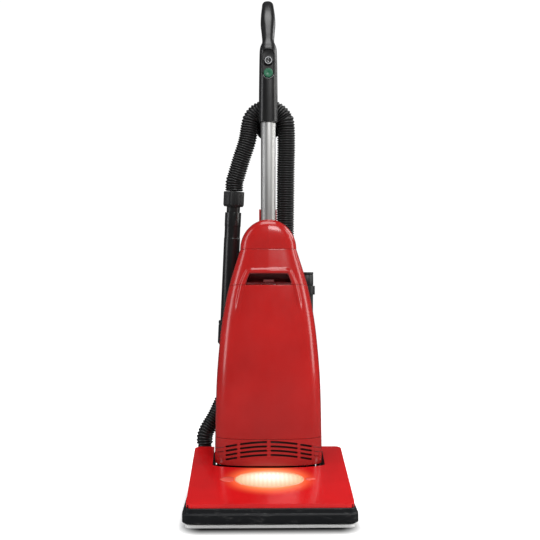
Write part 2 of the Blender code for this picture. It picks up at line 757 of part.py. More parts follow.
# ---------------------------------------------------------------- motor and trunnions
def build_motor():
    centre = at(0, PIVOT_DEPTH, PIVOT_Z)
    along = Vector((1, 0, 0))
    case = [(0.0058, 0.0700), (0.0400, 0.0700), (0.0450, 0.0640), (0.0450, -0.0750)]
    case += [(0.0415, -0.0750), (0.0415, 0.0610), (0.0380, 0.0665), (0.0058, 0.0665)]
    paint(turned("motor_housing", case, centre, along, 22), BLACK_MATTE)
    ring = [(0.0295, 0.0350), (0.0405, 0.0350), (0.0405, -0.0400), (0.0295, -0.0400)]
    paint(turned("motor_stator", ring, centre, along, 16), COPPER)
    shaft = [(0.0, 0.1070), (0.0050, 0.1070), (0.0050, 0.1025), (0.0105, 0.1025), (0.0105, 0.1012)]
    shaft += [(PULLEY_R, 0.1012), (PULLEY_R, 0.0888), (0.0105, 0.0888), (0.0105, 0.0875), (0.0050, 0.0875)]
    shaft += [(0.0050, 0.0450), (0.0280, 0.0400), (0.0280, -0.0450), (0.0080, -0.0470), (0.0080, -0.0560)]
    shaft += [(0.0360, -0.0580), (0.0360, -0.0720), (0.0050, -0.0740), (0.0050, -0.0860), (0.0, -0.0860)]
    paint(turned("motor_rotor", shaft, centre, along, 14, closed=False), STEEL)
    for way, name in ((-1, "left"), (1, "right")):
        middle = way * 0.1140
        y = FRONT_Y + PIVOT_DEPTH
        arm = arc(y, PIVOT_Z, 0.0260, 180, 360, 12) + [(y - 0.0030, 0.1480), (y - 0.0310, 0.1480)]
        bore = arc(y, PIVOT_Z, PIN_R + 0.0003, 0, 345, 23)
        plate = slab("trunnion_" + name, [arm, bore], middle - 0.0025, middle + 0.0025, across=True)
        paint(plate, BLACK_MATTE)


# ---------------------------------------------------------------- upright shells
def grille_cutters():
    """Arched rows of slots in four stretches across the motor cover."""
    made = []
    stretches = ((-0.104, -0.0710), (-0.0670, -0.0030), (0.0030, 0.0670), (0.0710, 0.104))
    for z in (0.1105, 0.1200, 0.1295, 0.1390):
        for start, end in stretches:
            middle = (start + end) / 2
            rise = 0.0135 * (middle / 0.1) ** 2
            lean = math.atan(-0.27 * middle / 0.1)
            slot = block("slot", (-(end - start) / 2, 0.170, -0.0014), ((end - start) / 2, 0.240, 0.0014))
            slot.location = at(middle, 0.205, z - rise)
            slot.rotation_euler = (0, -lean, 0)
            made.append(slot)
    return made


def build_front_shells():
    cover = front_shell("motor_cover", lambda a: 0.0860, lambda a: COVER_TOP_Z - SEAM, 2)
    paint(cut(cover, *grille_cutters()), BODY_RED)
    door = front_shell("bag_door", lambda a: COVER_TOP_Z, lambda a: door_seam(a, -SEAM), 8)
    paint(door, BODY_RED)
    panel = front_shell("handle_panel", lambda a: door_seam(a, 0.0), lambda a: CAP_Z - SEAM, 3)
    top = DOOR_TOP_Z + 0.0250
    mouth = [(-0.0545, DOOR_TOP_Z - 0.01), (0.0545, DOOR_TOP_Z - 0.01), (0.0440, top), (-0.0440, top)]
    opening = slab("hand_opening", [mouth], -0.03, 0.03)
    opening.location = (0, FRONT_Y + 0.215, 0)
    opening.rotation_euler = (math.radians(90), 0, 0)
    paint(cut(panel, opening), BODY_RED)

    pocket = block("handle_pocket", (-0.0500, 0.2255, 0.4890), (0.0500, 0.2500, 0.5340))
    cut(pocket, block("pocket_room", (-0.0480, 0.2200, 0.4910), (0.0480, 0.2480, 0.5320)))
    paint(pocket, DARK_RED)
    paint(block("door_latch", (-0.0120, 0.2180, 0.4915), (0.0120, 0.2360, 0.4975), 0.0012), BLACK_MATTE)


def body_ring(z, inset):
    """Full section of the upright, anticlockwise from above, starting at -X."""
    steps = 10
    front = [body_point(math.radians(-90 + 180 * i / steps), z, inset=inset) for i in range(steps)]
    rear = [body_point(math.radians(90 - 180 * i / steps), z, rear=True, inset=inset) for i in range(steps)]
    return front + rear


def build_top_cap():
    rows = []
    centre = at(0, DOME_MID, 0)
    for t in (0.0, 0.30, 0.55, 0.76, 0.91, 0.985):
        narrow = math.sqrt(1 - t * t)
        shallow = (1 - t**DOME_POWER) ** (1 / DOME_POWER)
        ring = []
        for point in body_ring(CAP_Z, 0.0):
            x = point.x * narrow
            y = centre.y + (point.y - centre.y) * shallow
            ring.append((x, y, CAP_Z + DOME_RISE * t))
        rows.append(ring)
    cap = grid("top_cap", rows, SHELL, ring=True, closed_top=True)
    start = at(SLEEVE_X, TUBE_DEPTH, 0.56)
    sleeve = rod("sleeve_hole", start, start + Vector((0, 0, 0.12)), SLEEVE_R + 0.0005)
    return paint(cut(cap, sleeve), BODY_RED)


def build_rear_housing():
    rows = []
    for step in range(9):
        z = 0.1050 + (CAP_Z - SEAM - 0.1050) * step / 8
        rows.append([body_point(-angle, z, rear=True) for angle in front_angles()])
    housing = grid("rear_housing", rows, SHELL)
    sleeve = rod("sleeve", at(SLEEVE_X, TUBE_DEPTH, 0.500), at(SLEEVE_X, TUBE_DEPTH, 0.658), SLEEVE_R)
    web = block("sleeve_web", (-0.006, 0.2860, 0.5250), (0.006, 0.3100, 0.5625))
    join(housing, sleeve, web)
    bore = rod("tube_bore", at(0, TUBE_DEPTH, 0.49), at(0, TUBE_DEPTH, 0.67), TUBE_R + 0.0004)
    front = block("sleeve_front", (-0.03, 0.240, 0.598), (0.03, TUBE_DEPTH - 0.001, 0.67))
    port = rod("port_hole", at(PORT_X, 0.290, PORT_Z), at(PORT_X, 0.340, PORT_Z), 0.0192)
    return paint(cut(housing, bore, front, port), BODY_RED)


def build_upright_insides():
    rings = [body_ring(z, 0.0038) for z in (0.1500, 0.1530)]
    tray = cut(loft("filter_tray", rings), block("tray_hole", (-0.045, 0.238, 0.14), (0.045, 0.288, 0.16)))
    paint(tray, BLACK_MATTE)
    paint(block("pre_motor_filter", (-0.060, 0.228, 0.1533), (0.060, 0.298, 0.1640), 0.001), FILTER_FOAM)
    paint(block("exhaust_filter", (-0.095, 0.2085, 0.0980), (0.095, 0.2200, 0.1420), 0.001), FILTER_FOAM)

    rings = []
    bag = ((0.1670, 0.060, 0.024), (0.1750, 0.080, 0.036), (0.2000, 0.092, 0.043), (0.2800, 0.093, 0.045))
    bag += ((0.3600, 0.086, 0.044), (0.4100, 0.076, 0.040), (0.4350, 0.066, 0.034), (0.4450, 0.050, 0.022))
    for z, half, deep in bag:
        ring = []
        for step in range(20):
            angle = 2 * math.pi * step / 20
            x = half * math.copysign(abs(math.cos(angle)) ** 0.7, math.cos(angle))
            y = deep * math.copysign(abs(math.sin(angle)) ** 0.7, math.sin(angle))
            ring.append(at(x, 0.2490 + y, z))
        rings.append(ring)
    paint(loft("filter_bag", rings), BAG_CLOTH)
    low = (PORT_X - 0.030, 0.2946, PORT_Z - 0.032)
    collar = block("bag_collar", low, (PORT_X + 0.024, 0.2976, PORT_Z + 0.026))
    hole = rod("collar_hole", at(PORT_X, 0.28, PORT_Z), at(PORT_X, 0.31, PORT_Z), 0.0160)
    paint(cut(collar, hole), FILTER_PAPER)


# ---------------------------------------------------------------- handle and switch
def grip_half(name, front):
    """Half of the grip, split down its sides, open at the foot."""
    rows = []
    count = len(GRIP_STATIONS)
    for index, (depth, z, half, deep) in enumerate(GRIP_STATIONS):
        before = GRIP_STATIONS[max(index - 1, 0)]
        after = GRIP_STATIONS[min(index + 1, count - 1)]
        along = Vector((0, after[0] - before[0], after[1] - before[1])).normalized()
        back = Vector((0, along.z, -along.y))
        middle = at(0, depth, z) - back * (GRIP_SEAM / 2 if front else -GRIP_SEAM / 2)
        row = []
        for step in range(9):
            angle = math.radians(-90 + 180 * step / 8)
            sine = math.sin(angle)
            across = half * math.copysign(abs(sine) ** 0.85, sine)
            reach = deep * abs(math.cos(angle)) ** 0.85
            if front:
                row.append(middle + Vector((across, 0, 0)) - back * reach)
            else:
                row.append(middle - Vector((across, 0, 0)) + back * reach)
        rows.append(row)
    return grid(name, rows, 0.0024)


def button(name, z, material):
    profile = [(0.0, 0.0030), (BUTTON_R - 0.002, 0.0030), (BUTTON_R, 0.0018)]
    profile += [(BUTTON_R, -0.0070), (0.0, -0.0070)]
    place = at(0, 0.2530, z)
    return paint(turned(name, profile, place, Vector((0, -1, 0)), closed=False), material)


def build_handle():
    low, high = TUBE_Z
    wall = [(TUBE_R - 0.0015, high), (TUBE_R, high), (TUBE_R, low), (TUBE_R - 0.0015, low)]
    paint(turned("handle_tube", wall, at(0, TUBE_DEPTH, 0), Vector((0, 0, 1)), 28), STEEL)

    middle = (POWER_Z + BRUSH_Z) / 2 + 0.0055
    front = grip_half("grip_front_shell", True)
    opening = slab("switch_opening", [stadium(0, middle, 0.0150, 0.0365)], -0.020, 0.020)
    opening.location = (0, FRONT_Y + 0.250, 0)
    opening.rotation_euler = (math.radians(90), 0, 0)
    paint(cut(front, opening), BLACK_GLOSS)
    paint(grip_half("grip_rear_shell", False), BLACK_GLOSS)

    holes = [stadium(0, middle, 0.0146, 0.0361)]
    for z in (POWER_Z, BRUSH_Z):
        holes.append(arc(0, z, BUTTON_R + 0.0005, 0, 348, 29))
    bezel = slab("switch_bezel", holes, -0.0010, 0.0010)
    bezel.location = (0, FRONT_Y + 0.2550, 0)
    bezel.rotation_euler = (math.radians(90), 0, 0)
    paint(bezel, BLACK_MATTE)
    button("power_button", POWER_Z, BLACK_GLOSS)
    button("brush_button", BRUSH_Z, GREEN)
    paint(block("switch_block", (-0.0110, 0.2630, 0.9550), (0.0110, 0.2820, 1.0100), 0.001), GREY_PLASTIC)

    gland = [(0.0, 0.0), (0.0080, 0.0), (0.0080, -0.004), (0.0055, -0.006), (0.0045, -0.016), (0.0, -0.016)]
    place = at(0, 0.2917, 0.9310)
    paint(turned("cord_gland", gland, place, Vector((0, -1, 0)), 16, closed=False), BLACK_MATTE)


def build_hooks():
    hub = [(0.0, 0.0480), (0.0290, 0.0480), (0.0290, 0.0450), (0.0185, 0.0430), (0.0185, 0.0), (0.0, 0.0)]
    paint(turned("hose_hook", hub, at(0, 0.2918, LOOP_Z), Vector((0, 1, 0)), 24, closed=False), BLACK_MATTE)

    post = rod("cord_hook_upper", at(0, 0.2916, HOOK_Z), at(0, 0.3140, HOOK_Z), 0.0065, 16)
    arm = block("hook_arm", (-0.0090, 0.3100, HOOK_Z - 0.010), (0.0090, 0.3170, HOOK_Z + 0.042), 0.0015)
    lip = block("hook_lip", (-0.0090, 0.3140, HOOK_Z + 0.036), (0.0090, 0.3260, HOOK_Z + 0.0415), 0.0015)
    paint(join(post, arm, lip), BLACK_MATTE)

    post = block("cord_hook_lower", (-0.0100, 0.3256, 0.2800), (0.0100, 0.3480, 0.2960), 0.0015)
    arm = block("lower_arm", (-0.0100, 0.3430, 0.2460), (0.0100, 0.3500, 0.2950), 0.0015)
    paint(join(post, arm), BLACK_MATTE)


# ---------------------------------------------------------------- hose, wand and tool
def wand_line():
    foot = at(*WAND_FOOT)
    return foot, (at(*WAND_HEAD) - foot).normalized()


def build_wand():
    foot, along = wand_line()
    length = (at(*WAND_HEAD) - foot).length
    pipe = [(0.0165, length), (WAND_R, length), (WAND_R, 0.0), (0.0165, 0.0)]
    paint(turned("wand", pipe, foot, along, 24), BLACK_GLOSS)
    cuff = [(0.0130, 0.3507), (0.0243, 0.3507), (0.0243, 0.3190), (0.0220, 0.3155), (0.0156, 0.3150)]
    cuff += [(0.0156, 0.2750), (0.0130, 0.2750)]
    paint(turned("hose_cuff", cuff, foot, along, 24), BLACK_MATTE)
    cup = [(0.0195, 0.0460), (0.0230, 0.0460), (0.0230, -0.0060), (0.0178, -0.0120), (0.0178, -0.1130)]
    cup += [(0.0135, -0.1130), (0.0135, -0.0006), (0.0195, -0.0006)]
    socket = turned("wand_socket", cup, foot, along, 24)
    join(socket, block("socket_lug", (-0.0980, 0.3148, 0.3600), (-0.0880, 0.3185, 0.3850)))
    paint(socket, BLACK_MATTE)


def upper_hose_route():
    """Hose from the wand's cuff up over the hook and down to the port in the rear housing."""
    foot, along = wand_line()
    start = foot + along * 0.3522
    points = [start, start + along * 0.020, at(-0.0740, 0.3215, 0.7400), at(-0.0620, 0.3190, 0.7800)]
    points.append(at(-0.0490, 0.3170, 0.8200))
    for x, z in arc(0, LOOP_Z, LOOP_R, 170, 10, 8):
        points.append(at(x, LOOP_DEPTH, z))
    points += [at(0.0430, 0.3180, 0.8150), at(0.0420, 0.3230, 0.7500), at(0.0415, 0.3300, 0.6800)]
    points += [at(PORT_X, 0.3370, 0.6100), at(PORT_X, 0.3430, 0.5400), at(PORT_X, 0.3470, 0.4970)]
    points.append(at(PORT_X, 0.3470, PORT_Z + 0.0470))
    return smooth_route(points, 0.024)


def lower_hose_route():
    """Short hose from the port behind the left lobe up to the foot of the wand socket."""
    foot, along = wand_line()
    end = foot - along * 0.1142
    top = at(-DUCT_X, 0.3435, DUCT_Z + 0.0296)
    points = [top, top + Vector((0, 0, 0.016)), at(-0.1430, 0.3445, 0.1420), at(-0.1240, 0.3460, 0.1740)]
    points += [at(-0.1080, 0.3462, 0.2080), end - along * 0.017, end]
    return smooth_route(points, 0.016)


def build_hoses():
    paint(tube("upper_hose", upper_hose_route(), HOSE_R), HOSE_PLASTIC)
    paint(tube("lower_hose", lower_hose_route(), LOWER_HOSE_R), HOSE_PLASTIC)
    drop = [at(PORT_X, 0.3470, PORT_Z + 0.0466)]
    for y, z in arc(0.3170, PORT_Z + 0.0300, 0.0300, 0, -90, 5):
        drop.append(at(PORT_X, y, z))
    paint(hollow_tube("hose_port", [*drop, at(PORT_X, 0.2980, PORT_Z)], 0.0185, 0.0155), BLACK_MATTE)


def tool_rings(stations):
    """Oval rings from (height, half width, half depth)."""
    circle = arc(0, 0, 1, 0, 340, 17)
    rings = []
    for z, half, deep in stations:
        rings.append([at(TOOL_X + x * half, TOOL_DEPTH + y * deep, z) for x, y in circle])
    return rings


def build_crevice_tool():
    outside = ((0.3000, 0.0145, 0.0062), (0.3500, 0.0146, 0.0078), (0.4200, 0.0148, 0.0108))
    outside += ((0.4750, 0.0150, 0.0150), (0.4850, 0.0155, 0.0155), (0.5140, 0.0155, 0.0155))
    bore = ((0.2900, 0.0120, 0.0038), (0.4200, 0.0126, 0.0086), (0.4800, 0.0126, 0.0126))
    bore += ((0.5200, 0.0130, 0.0130),)
    tool = loft("crevice_tool", tool_rings(outside))
    paint(cut(tool, loft("tool_bore", tool_rings(bore))), BLACK_MATTE)
    ring = [(0.0162, 0.4816), (0.0192, 0.4816), (0.0192, 0.4610), (0.0162, 0.4610)]
    holder = turned("tool_holder", ring, at(TOOL_X, TOOL_DEPTH, 0), Vector((0, 0, 1)), 24)
    join(holder, block("holder_arm", (0.0700, 0.3125, 0.4640), (0.0800, 0.3225, 0.4780)))
    paint(holder, BLACK_MATTE)


# ---------------------------------------------------------------- joints as parent empties
def pivot(name, place, parent=None):
    """Empty on a joint's axis, which the pieces that turn or slide there are parented to."""
    empty = bpy.data.objects.new(name, None)
    empty.empty_display_size = 0.03
    empty.location = place
    PARTS.objects.link(empty)
    if parent:
        hang(parent, empty)
    return empty


def hang(parent, *children):
    bpy.context.view_layer.update()
    for child in children:
        child.parent = parent
        child.matrix_parent_inverse = parent.matrix_world.inverted()


def named(*names):
    return [bpy.data.objects[name] for name in names]


def build_tree():
    base = pivot("floor_head", Vector((0, 0, 0)))
    upright = pivot("recline_axis", at(0, PIVOT_DEPTH, PIVOT_Z), base)
    foot, _ = wand_line()
    moving = {
        "door_axis": (at(0, *DOOR_HINGE), upright, ["bag_door"]),
        "wand_axis": (foot, upright, ["wand", "hose_cuff"]),
        "tool_axis": (at(TOOL_X, TOOL_DEPTH, 0.3), upright, ["crevice_tool"]),
        "hook_axis": (at(0, 0.2916, HOOK_Z), upright, ["cord_hook_upper"]),
        "motor_axis": (at(0, PIVOT_DEPTH, PIVOT_Z), upright, ["motor_rotor"]),
        "brush_axis": (at(0, ROLL_DEPTH, ROLL_Z), base, ["brush_roll"]),
        "pedal_axis": (at(0, *PEDAL_PIVOT), base, ["release_pedal"]),
    }
    for name, (place, parent, children) in moving.items():
        hang(pivot(name, place, parent), *named(*children))
    placed = [name for _, _, children in moving.values() for name in children]
    for obj in list(PARTS.objects):
        if obj.type != "EMPTY" and obj.name not in placed:
            hang(base if obj.name in BASE_NAMES else upright, obj)


build_cover()
build_chassis()
build_base_fittings()
build_wheels()
build_brush()
build_motor()
build_front_shells()
build_top_cap()
build_rear_housing()
build_upright_insides()
build_handle()
build_hooks()
build_wand()
build_hoses()
build_crevice_tool()
build_tree()
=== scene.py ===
"""Looks of an upright vacuum cleaner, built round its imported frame.

Metres, +Z up, front towards -Y. Places are (x, depth, z), with depth measured back
from the front edge of the floor head's cover, and at() turns them into frame points.
"""

import json
import math
import random

import bmesh
import bpy
from mathutils import Matrix, Vector

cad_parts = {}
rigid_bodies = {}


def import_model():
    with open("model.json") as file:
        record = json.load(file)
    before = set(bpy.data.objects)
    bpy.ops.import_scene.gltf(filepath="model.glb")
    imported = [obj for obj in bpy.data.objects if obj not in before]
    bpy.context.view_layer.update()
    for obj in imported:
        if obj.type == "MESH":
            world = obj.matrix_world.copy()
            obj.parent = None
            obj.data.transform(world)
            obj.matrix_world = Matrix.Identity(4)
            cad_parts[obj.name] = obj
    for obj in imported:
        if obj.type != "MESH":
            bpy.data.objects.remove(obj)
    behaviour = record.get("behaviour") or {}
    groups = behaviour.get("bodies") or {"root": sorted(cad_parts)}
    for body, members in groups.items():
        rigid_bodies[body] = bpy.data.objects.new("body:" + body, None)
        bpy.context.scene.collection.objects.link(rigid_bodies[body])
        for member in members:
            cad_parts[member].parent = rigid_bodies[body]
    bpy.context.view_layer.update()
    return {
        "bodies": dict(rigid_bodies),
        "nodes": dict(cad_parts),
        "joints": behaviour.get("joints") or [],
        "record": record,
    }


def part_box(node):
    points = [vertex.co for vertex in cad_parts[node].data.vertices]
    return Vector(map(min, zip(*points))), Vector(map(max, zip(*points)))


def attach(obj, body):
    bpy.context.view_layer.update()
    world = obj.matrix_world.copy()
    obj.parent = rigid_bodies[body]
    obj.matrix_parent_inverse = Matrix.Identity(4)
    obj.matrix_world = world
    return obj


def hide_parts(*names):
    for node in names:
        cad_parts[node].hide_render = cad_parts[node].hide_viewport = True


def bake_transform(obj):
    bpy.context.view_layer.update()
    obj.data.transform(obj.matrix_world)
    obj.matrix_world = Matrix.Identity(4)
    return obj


for startup_object in list(bpy.data.objects):
    bpy.data.objects.remove(startup_object, do_unlink=True)
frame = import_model()

# ---------------------------------------------------------------- driving dimensions
FRONT_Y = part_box("base_cover")[0].y
COVER_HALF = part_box("base_cover")[1].x
COVER_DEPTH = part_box("base_cover")[1].y - FRONT_Y
COVER_FRONT_Z = 0.050
COVER_SLOPE = 0.178  # rise of the cover's top per metre of depth
SKIRT_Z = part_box("base_cover")[0].z
CORNER = 0.014
WALL = 0.0030
LOBE_INNER = 0.125
BAY_FRONT = 0.205
BAY_BULGE = 0.020
PIVOT = (0.272, 0.062)  # depth and height of the recline axis
LENS_DEPTH = 0.123
LENS_HALF = 0.0715
LENS_ASPECT = 0.58

BODY_POWER = 3.5
BODY_MID = 0.262
BODY_CREASE = 0.0035
CREASE_ROUND = 0.03
SEAM = 0.0006
SHELL = 0.0028
BODY_STATIONS = (  # height, half width, depth of the front, depth of the rear
    (0.0850, 0.1215, 0.1930, 0.3250),
    (0.1500, 0.1208, 0.1930, 0.3250),
    (0.2690, 0.1176, 0.1950, 0.3250),
    (0.3550, 0.1107, 0.1990, 0.3240),
    (0.4170, 0.1027, 0.2040, 0.3220),
    (0.4870, 0.0880, 0.2120, 0.3180),
    (0.5670, 0.0636, 0.2240, 0.3100),
)
COVER_TOP_Z = 0.1450
DOOR_TOP_Z = 0.4870
CAP_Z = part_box("top_cap")[0].z
DOME_RISE = 0.0680
DOOR_HINGE = (0.1885, 0.1455)

TUBE_DEPTH = 0.270
TUBE_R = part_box("handle_tube")[1].x
SLEEVE_X = -0.0010
SLEEVE_R = 0.0200
PORT_X = 0.041
PORT_Z = 0.428
LOOP_R = 0.042
LOOP_Z = 0.854
LOOP_DEPTH = 0.316
HOSE_R = 0.0215
LOWER_HOSE_R = 0.0195
DUCT_X = 0.149
DUCT_Z = 0.0785
DUCT_R = 0.0160
WAND_FOOT = (-0.0951, 0.3400, 0.3530)
WAND_HEAD = (-0.0815, 0.3260, 0.6540)
WAND_R = 0.0190
TOOL_X = 0.092
TOOL_DEPTH = 0.334
POWER_Z = 0.996
BRUSH_Z = 0.968
BUTTON_R = 0.0105
RECESS_Z = (POWER_Z + BRUSH_Z) / 2 + 0.0055
ROLL = (0.045, 0.0265)  # depth and height of the brush roll's axis
REAR_WHEEL = (0.1495, 0.282, 0.0270)
FRONT_WHEEL = (0.1200, 0.098, 0.0155)
GRIP_STATIONS = (  # depth, height, half width, half depth
    (0.2700, 0.8575, 0.0220, 0.0205),
    (0.2700, 0.9400, 0.0212, 0.0205),
    (0.2705, 1.0050, 0.0203, 0.0200),
    (0.2740, 1.0270, 0.0190, 0.0175),
    (0.2790, 1.0420, 0.0140, 0.0145),
    (0.2880, 1.0640, 0.0150, 0.0140),
    (0.3020, 1.0900, 0.0172, 0.0155),
    (0.3210, 1.1160, 0.0162, 0.0150),
    (0.3410, 1.1370, 0.0142, 0.0135),
    (0.3580, 1.1490, 0.0128, 0.0112),
    (0.3680, 1.1535, 0.0070, 0.0058),
)
RIDGE = (  # half of the raised edge round the hand recess: x and height
    (0.0000, 0.5180),
    (0.0390, 0.5180),
    (0.0462, 0.5160),
    (0.0502, 0.5100),
    (0.0600, 0.4860),
    (0.0668, 0.4550),
    (0.0712, 0.4180),
)
RIDGE_HALF = 0.0062
RIDGE_RISE = 0.0034
WORLD_STRENGTH = 0.30
MIRRORED_STRENGTH = 0.07  # what gloss sees of the white surroundings, besides the lights
# reach of the contact shadow painted into the floor's colour and glow
CONTACT_SHADOW = 0.058
FLOOR_GLOW = (0.58, 0.78)  # near the machine and far behind it
LIGHTS = (  # name, (x, depth, z), width, height, power, colour
    ("overhead", (0.0, -0.10, 2.60), 1.2, 1.2, 22.0, (1.0, 1.0, 1.0)),
    ("left_box", (-2.10, -0.30, 1.20), 0.6, 2.0, 15.0, (0.97, 0.98, 1.0)),
    ("right_box", (2.10, -0.10, 1.20), 0.6, 2.0, 19.0, (1.0, 0.985, 0.96)),
    ("front_key", (0.70, -2.30, 2.30), 1.3, 1.0, 42.0, (1.0, 1.0, 1.0)),
    ("rear_box", (2.2, 1.5, 2.0), 1.2, 1.2, 20.0, (1.0, 1.0, 1.0)),
)
HOSE_PITCH = 0.0056
LOWER_PITCH = 0.0062
RECESS_TOP_Z = 0.5125
RECESS_TOP_HALF = 0.0440
RECESS_FOOT_HALF = 0.0540
FRONT_EDGE = 0.0009
RECESS_STEPS = (  # inset from the mouth, how far back, how far its top edge climbs
    (0.0001, 0.0004, 0.0),
    (0.0005, 0.0010, 0.0),
    (0.0012, 0.0020, 0.0),
    (0.0014, 0.0045, 0.0),
    (0.0016, 0.0100, 0.006),
    (0.0020, 0.0180, 0.014),
    (0.0035, 0.0240, 0.017),
    (0.0065, 0.0262, 0.016),
)
GRILLE = (  # where each stretch of a row starts and ends, and half its height
    (0.0036, 0.0640, 0.0023),
    (0.0695, 0.0960, 0.0023),
)
GRILLE_ROWS = (0.1105, 0.1200, 0.1295, 0.1390)
SCREWS = ((-0.088, 0.150), (0.088, 0.150), (-0.080, 0.360), (0.080, 0.360), (-0.050, 0.535), (0.050, 0.535))
GLOW_REACH = 0.112
LENS_RIB = 0.0042
SOLE_NOTCHES = (  # x, half width and height of the moulded nicks along the front
    (-0.1230, 0.0022, 0.0012),
    (-0.1055, 0.0012, 0.0012),
    (-0.0095, 0.0026, 0.0010),
    (0.0035, 0.0050, 0.0006),
    (0.1180, 0.0016, 0.0008),
)
GRIP_SEAM = 0.0010
GRIP_TOP = max(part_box("grip_front_shell")[1].z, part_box("grip_rear_shell")[1].z) - 0.0001
SWITCH_STEPS = (  # inset from the opening, how deep, how far towards the flat floor
    (-0.0004, 0.0006, 0.0),
    (-0.0002, 0.0001, 0.0),
    (0.0004, 0.0001, 0.0),
    (0.0009, 0.0009, 0.3),
    (0.0011, 0.0002, 0.9),
    (0.0017, 0.0004, 1.0),
)
BAG = (  # height, half width and half depth
    (0.1690, 0.056, 0.021),
    (0.1750, 0.077, 0.033),
    (0.2000, 0.089, 0.040),
    (0.2400, 0.090, 0.042),
    (0.2800, 0.090, 0.042),
    (0.3200, 0.087, 0.042),
    (0.3600, 0.083, 0.041),
    (0.4100, 0.073, 0.037),
    (0.4330, 0.062, 0.031),
    (0.4430, 0.047, 0.020),
)
BAG_MOST = 0.0030  # how far the cloth may move
COVER_EDGE = 0.0036  # radius of the floor head cover's top edges
DUCT_BORE = 0.0130
GRILLE_ARCH = 0.0135  # how far a row of the grille has dropped 0.1 m from the middle
GROOVE_START = 0.0985  # where the slots give way to the dark strips of painted groove shade
GROOVE_FLOOR = 0.0875
GUARD_R = 0.0448  # curved guards behind the motor: radius, first angle and sweep
GUARD_START = -52
GUARD_SWEEP = 112
SHADE_SHEET_INSET = 0.0048
TUFT_SEED = 7
TUFTS = 38
TUFT_HALF = 0.136
TUFT_TWIST = 2.4
BRISTLES_A_TUFT = 12
BRISTLE_LENGTH = 0.0085
PLEATS = 38
BAG_VOXEL = 0.0055
BAG_PRESSURE = 4.0
BAG_FRAMES = 20


def at(x, depth, z):
    return Vector((x, FRONT_Y + depth, z))


# ---------------------------------------------------------------- node materials
class Finish:
    """A procedural material under construction: object coordinates, then a Principled shader."""

    def __init__(self, name, colour, roughness, metallic=0.0):
        self.material = bpy.data.materials.new(name)
        self.material.use_nodes = True
        self.tree = self.material.node_tree
        self.shader = self.tree.nodes["Principled BSDF"]
        self.shader.inputs["Base Color"].default_value = (*colour, 1.0)
        self.shader.inputs["Roughness"].default_value = roughness
        self.shader.inputs["Metallic"].default_value = metallic
        self.colour = colour
        self.coordinates = self.add("ShaderNodeTexCoord").outputs["Object"]

    def add(self, kind, **inputs):
        made = self.tree.nodes.new(kind)
        for name, value in inputs.items():
            self.put(made.inputs[name.replace("_", " ")], value)
        return made

    def put(self, socket, value):
        if isinstance(value, bpy.types.NodeSocket):
            self.tree.links.new(value, socket)
        else:
            socket.default_value = value

    def set(self, **values):
        for name, value in values.items():
            self.put(self.shader.inputs[name.replace("_", " ")], value)
        return self

    def stretched(self, scale, turn=(0.0, 0.0, 0.0)):
        return self.add(
            "ShaderNodeMapping", Vector=self.coordinates, Scale=scale, Rotation=turn
        ).outputs["Vector"]

    def noise(self, scale, detail=3.0, vector=None, roughness=0.5):
        made = self.add(
            "ShaderNodeTexNoise",
            Vector=vector or self.coordinates,
            Scale=scale,
            Detail=detail,
            Roughness=roughness,
        )
        return made.outputs["Fac"]

    def between(self, factor, low, high, start=0.3, end=0.7):
        made = self.add("ShaderNodeMapRange")
        self.put(made.inputs["Value"], factor)
        made.inputs["From Min"].default_value = start
        made.inputs["From Max"].default_value = end
        made.inputs["To Min"].default_value = low
        made.inputs["To Max"].default_value = high
        return made.outputs["Result"]

    def math(self, operation, first, second=0.0):
        made = self.tree.nodes.new("ShaderNodeMath")
        made.operation = operation
        self.put(made.inputs[0], first)
        self.put(made.inputs[1], second)
        return made.outputs["Value"]

    def blend(self, factor, first, second):
        """Colour between two colours, each a tuple or a socket."""
        made = self.tree.nodes.new("ShaderNodeMix")
        made.data_type = "RGBA"
        sides = [s if isinstance(s, bpy.types.NodeSocket) else (*s, 1.0) for s in (first, second)]
        self.put(made.inputs["Factor"], factor)
        self.put(made.inputs[6], sides[0])
        self.put(made.inputs[7], sides[1])
        return made.outputs[2]

    def bump(self, height, distance, strength=1.0, under=None):
        made = self.add("ShaderNodeBump", Strength=strength, Distance=distance, Height=height)
        if under:
            self.put(made.inputs["Normal"], under)
        return made.outputs["Normal"]

    def edges(self, low=0.52, high=0.62):
        """1 along worn outer edges, 0 elsewhere."""
        return self.between(self.add("ShaderNodeNewGeometry").outputs["Pointiness"], 0.0, 1.0, low, high)

    def upward(self):
        """1 on surfaces that face up, where dust settles."""
        normal = self.add("ShaderNodeNewGeometry").outputs["Normal"]
        split = self.add("ShaderNodeSeparateXYZ", Vector=normal)
        return self.between(split.outputs["Z"], 0.0, 1.0, 0.45, 1.0)


def shade(colour, factor):
    return tuple(min(1.0, channel * factor) for channel in colour)


def plastic_finish(name, colour, roughness, grain=0.00004, coat=0.0, wear=0.10, dust=0.0):
    """Moulded plastic: slight colour drift, handling smears in the gloss, fine grain and rubbed edges."""
    made = Finish(name, colour, roughness)
    drift = made.noise(9.0, 4.0)
    tone = made.blend(made.between(drift, 0.0, 1.0), shade(colour, 0.90), shade(colour, 1.10))
    worn = made.math("MULTIPLY", made.edges(), wear)
    tone = made.blend(worn, tone, tuple(0.55 * c + 0.22 for c in colour))
    if dust:
        settled = made.math("MULTIPLY", made.upward(), made.between(made.noise(30.0, 6.0), 0.0, dust))
        tone = made.blend(settled, tone, (0.45, 0.43, 0.40))
    smear = made.noise(14.0, 6.0, made.stretched((1.0, 1.0, 0.35)), 0.65)
    fine = made.noise(70.0, 2.0)
    gloss = made.math("ADD", made.between(smear, roughness * 0.82, roughness * 1.25), 0.0)
    gloss = made.math("ADD", gloss, made.between(fine, -0.02, 0.02))
    grains = made.bump(made.noise(1400.0, 2.0), grain)
    waves = made.bump(made.noise(22.0, 1.0), 0.00025, 0.35, grains)
    made.set(Base_Color=tone, Roughness=gloss, Normal=waves)
    if coat:
        made.set(Coat_Weight=coat, Coat_Roughness=0.08)
    return made


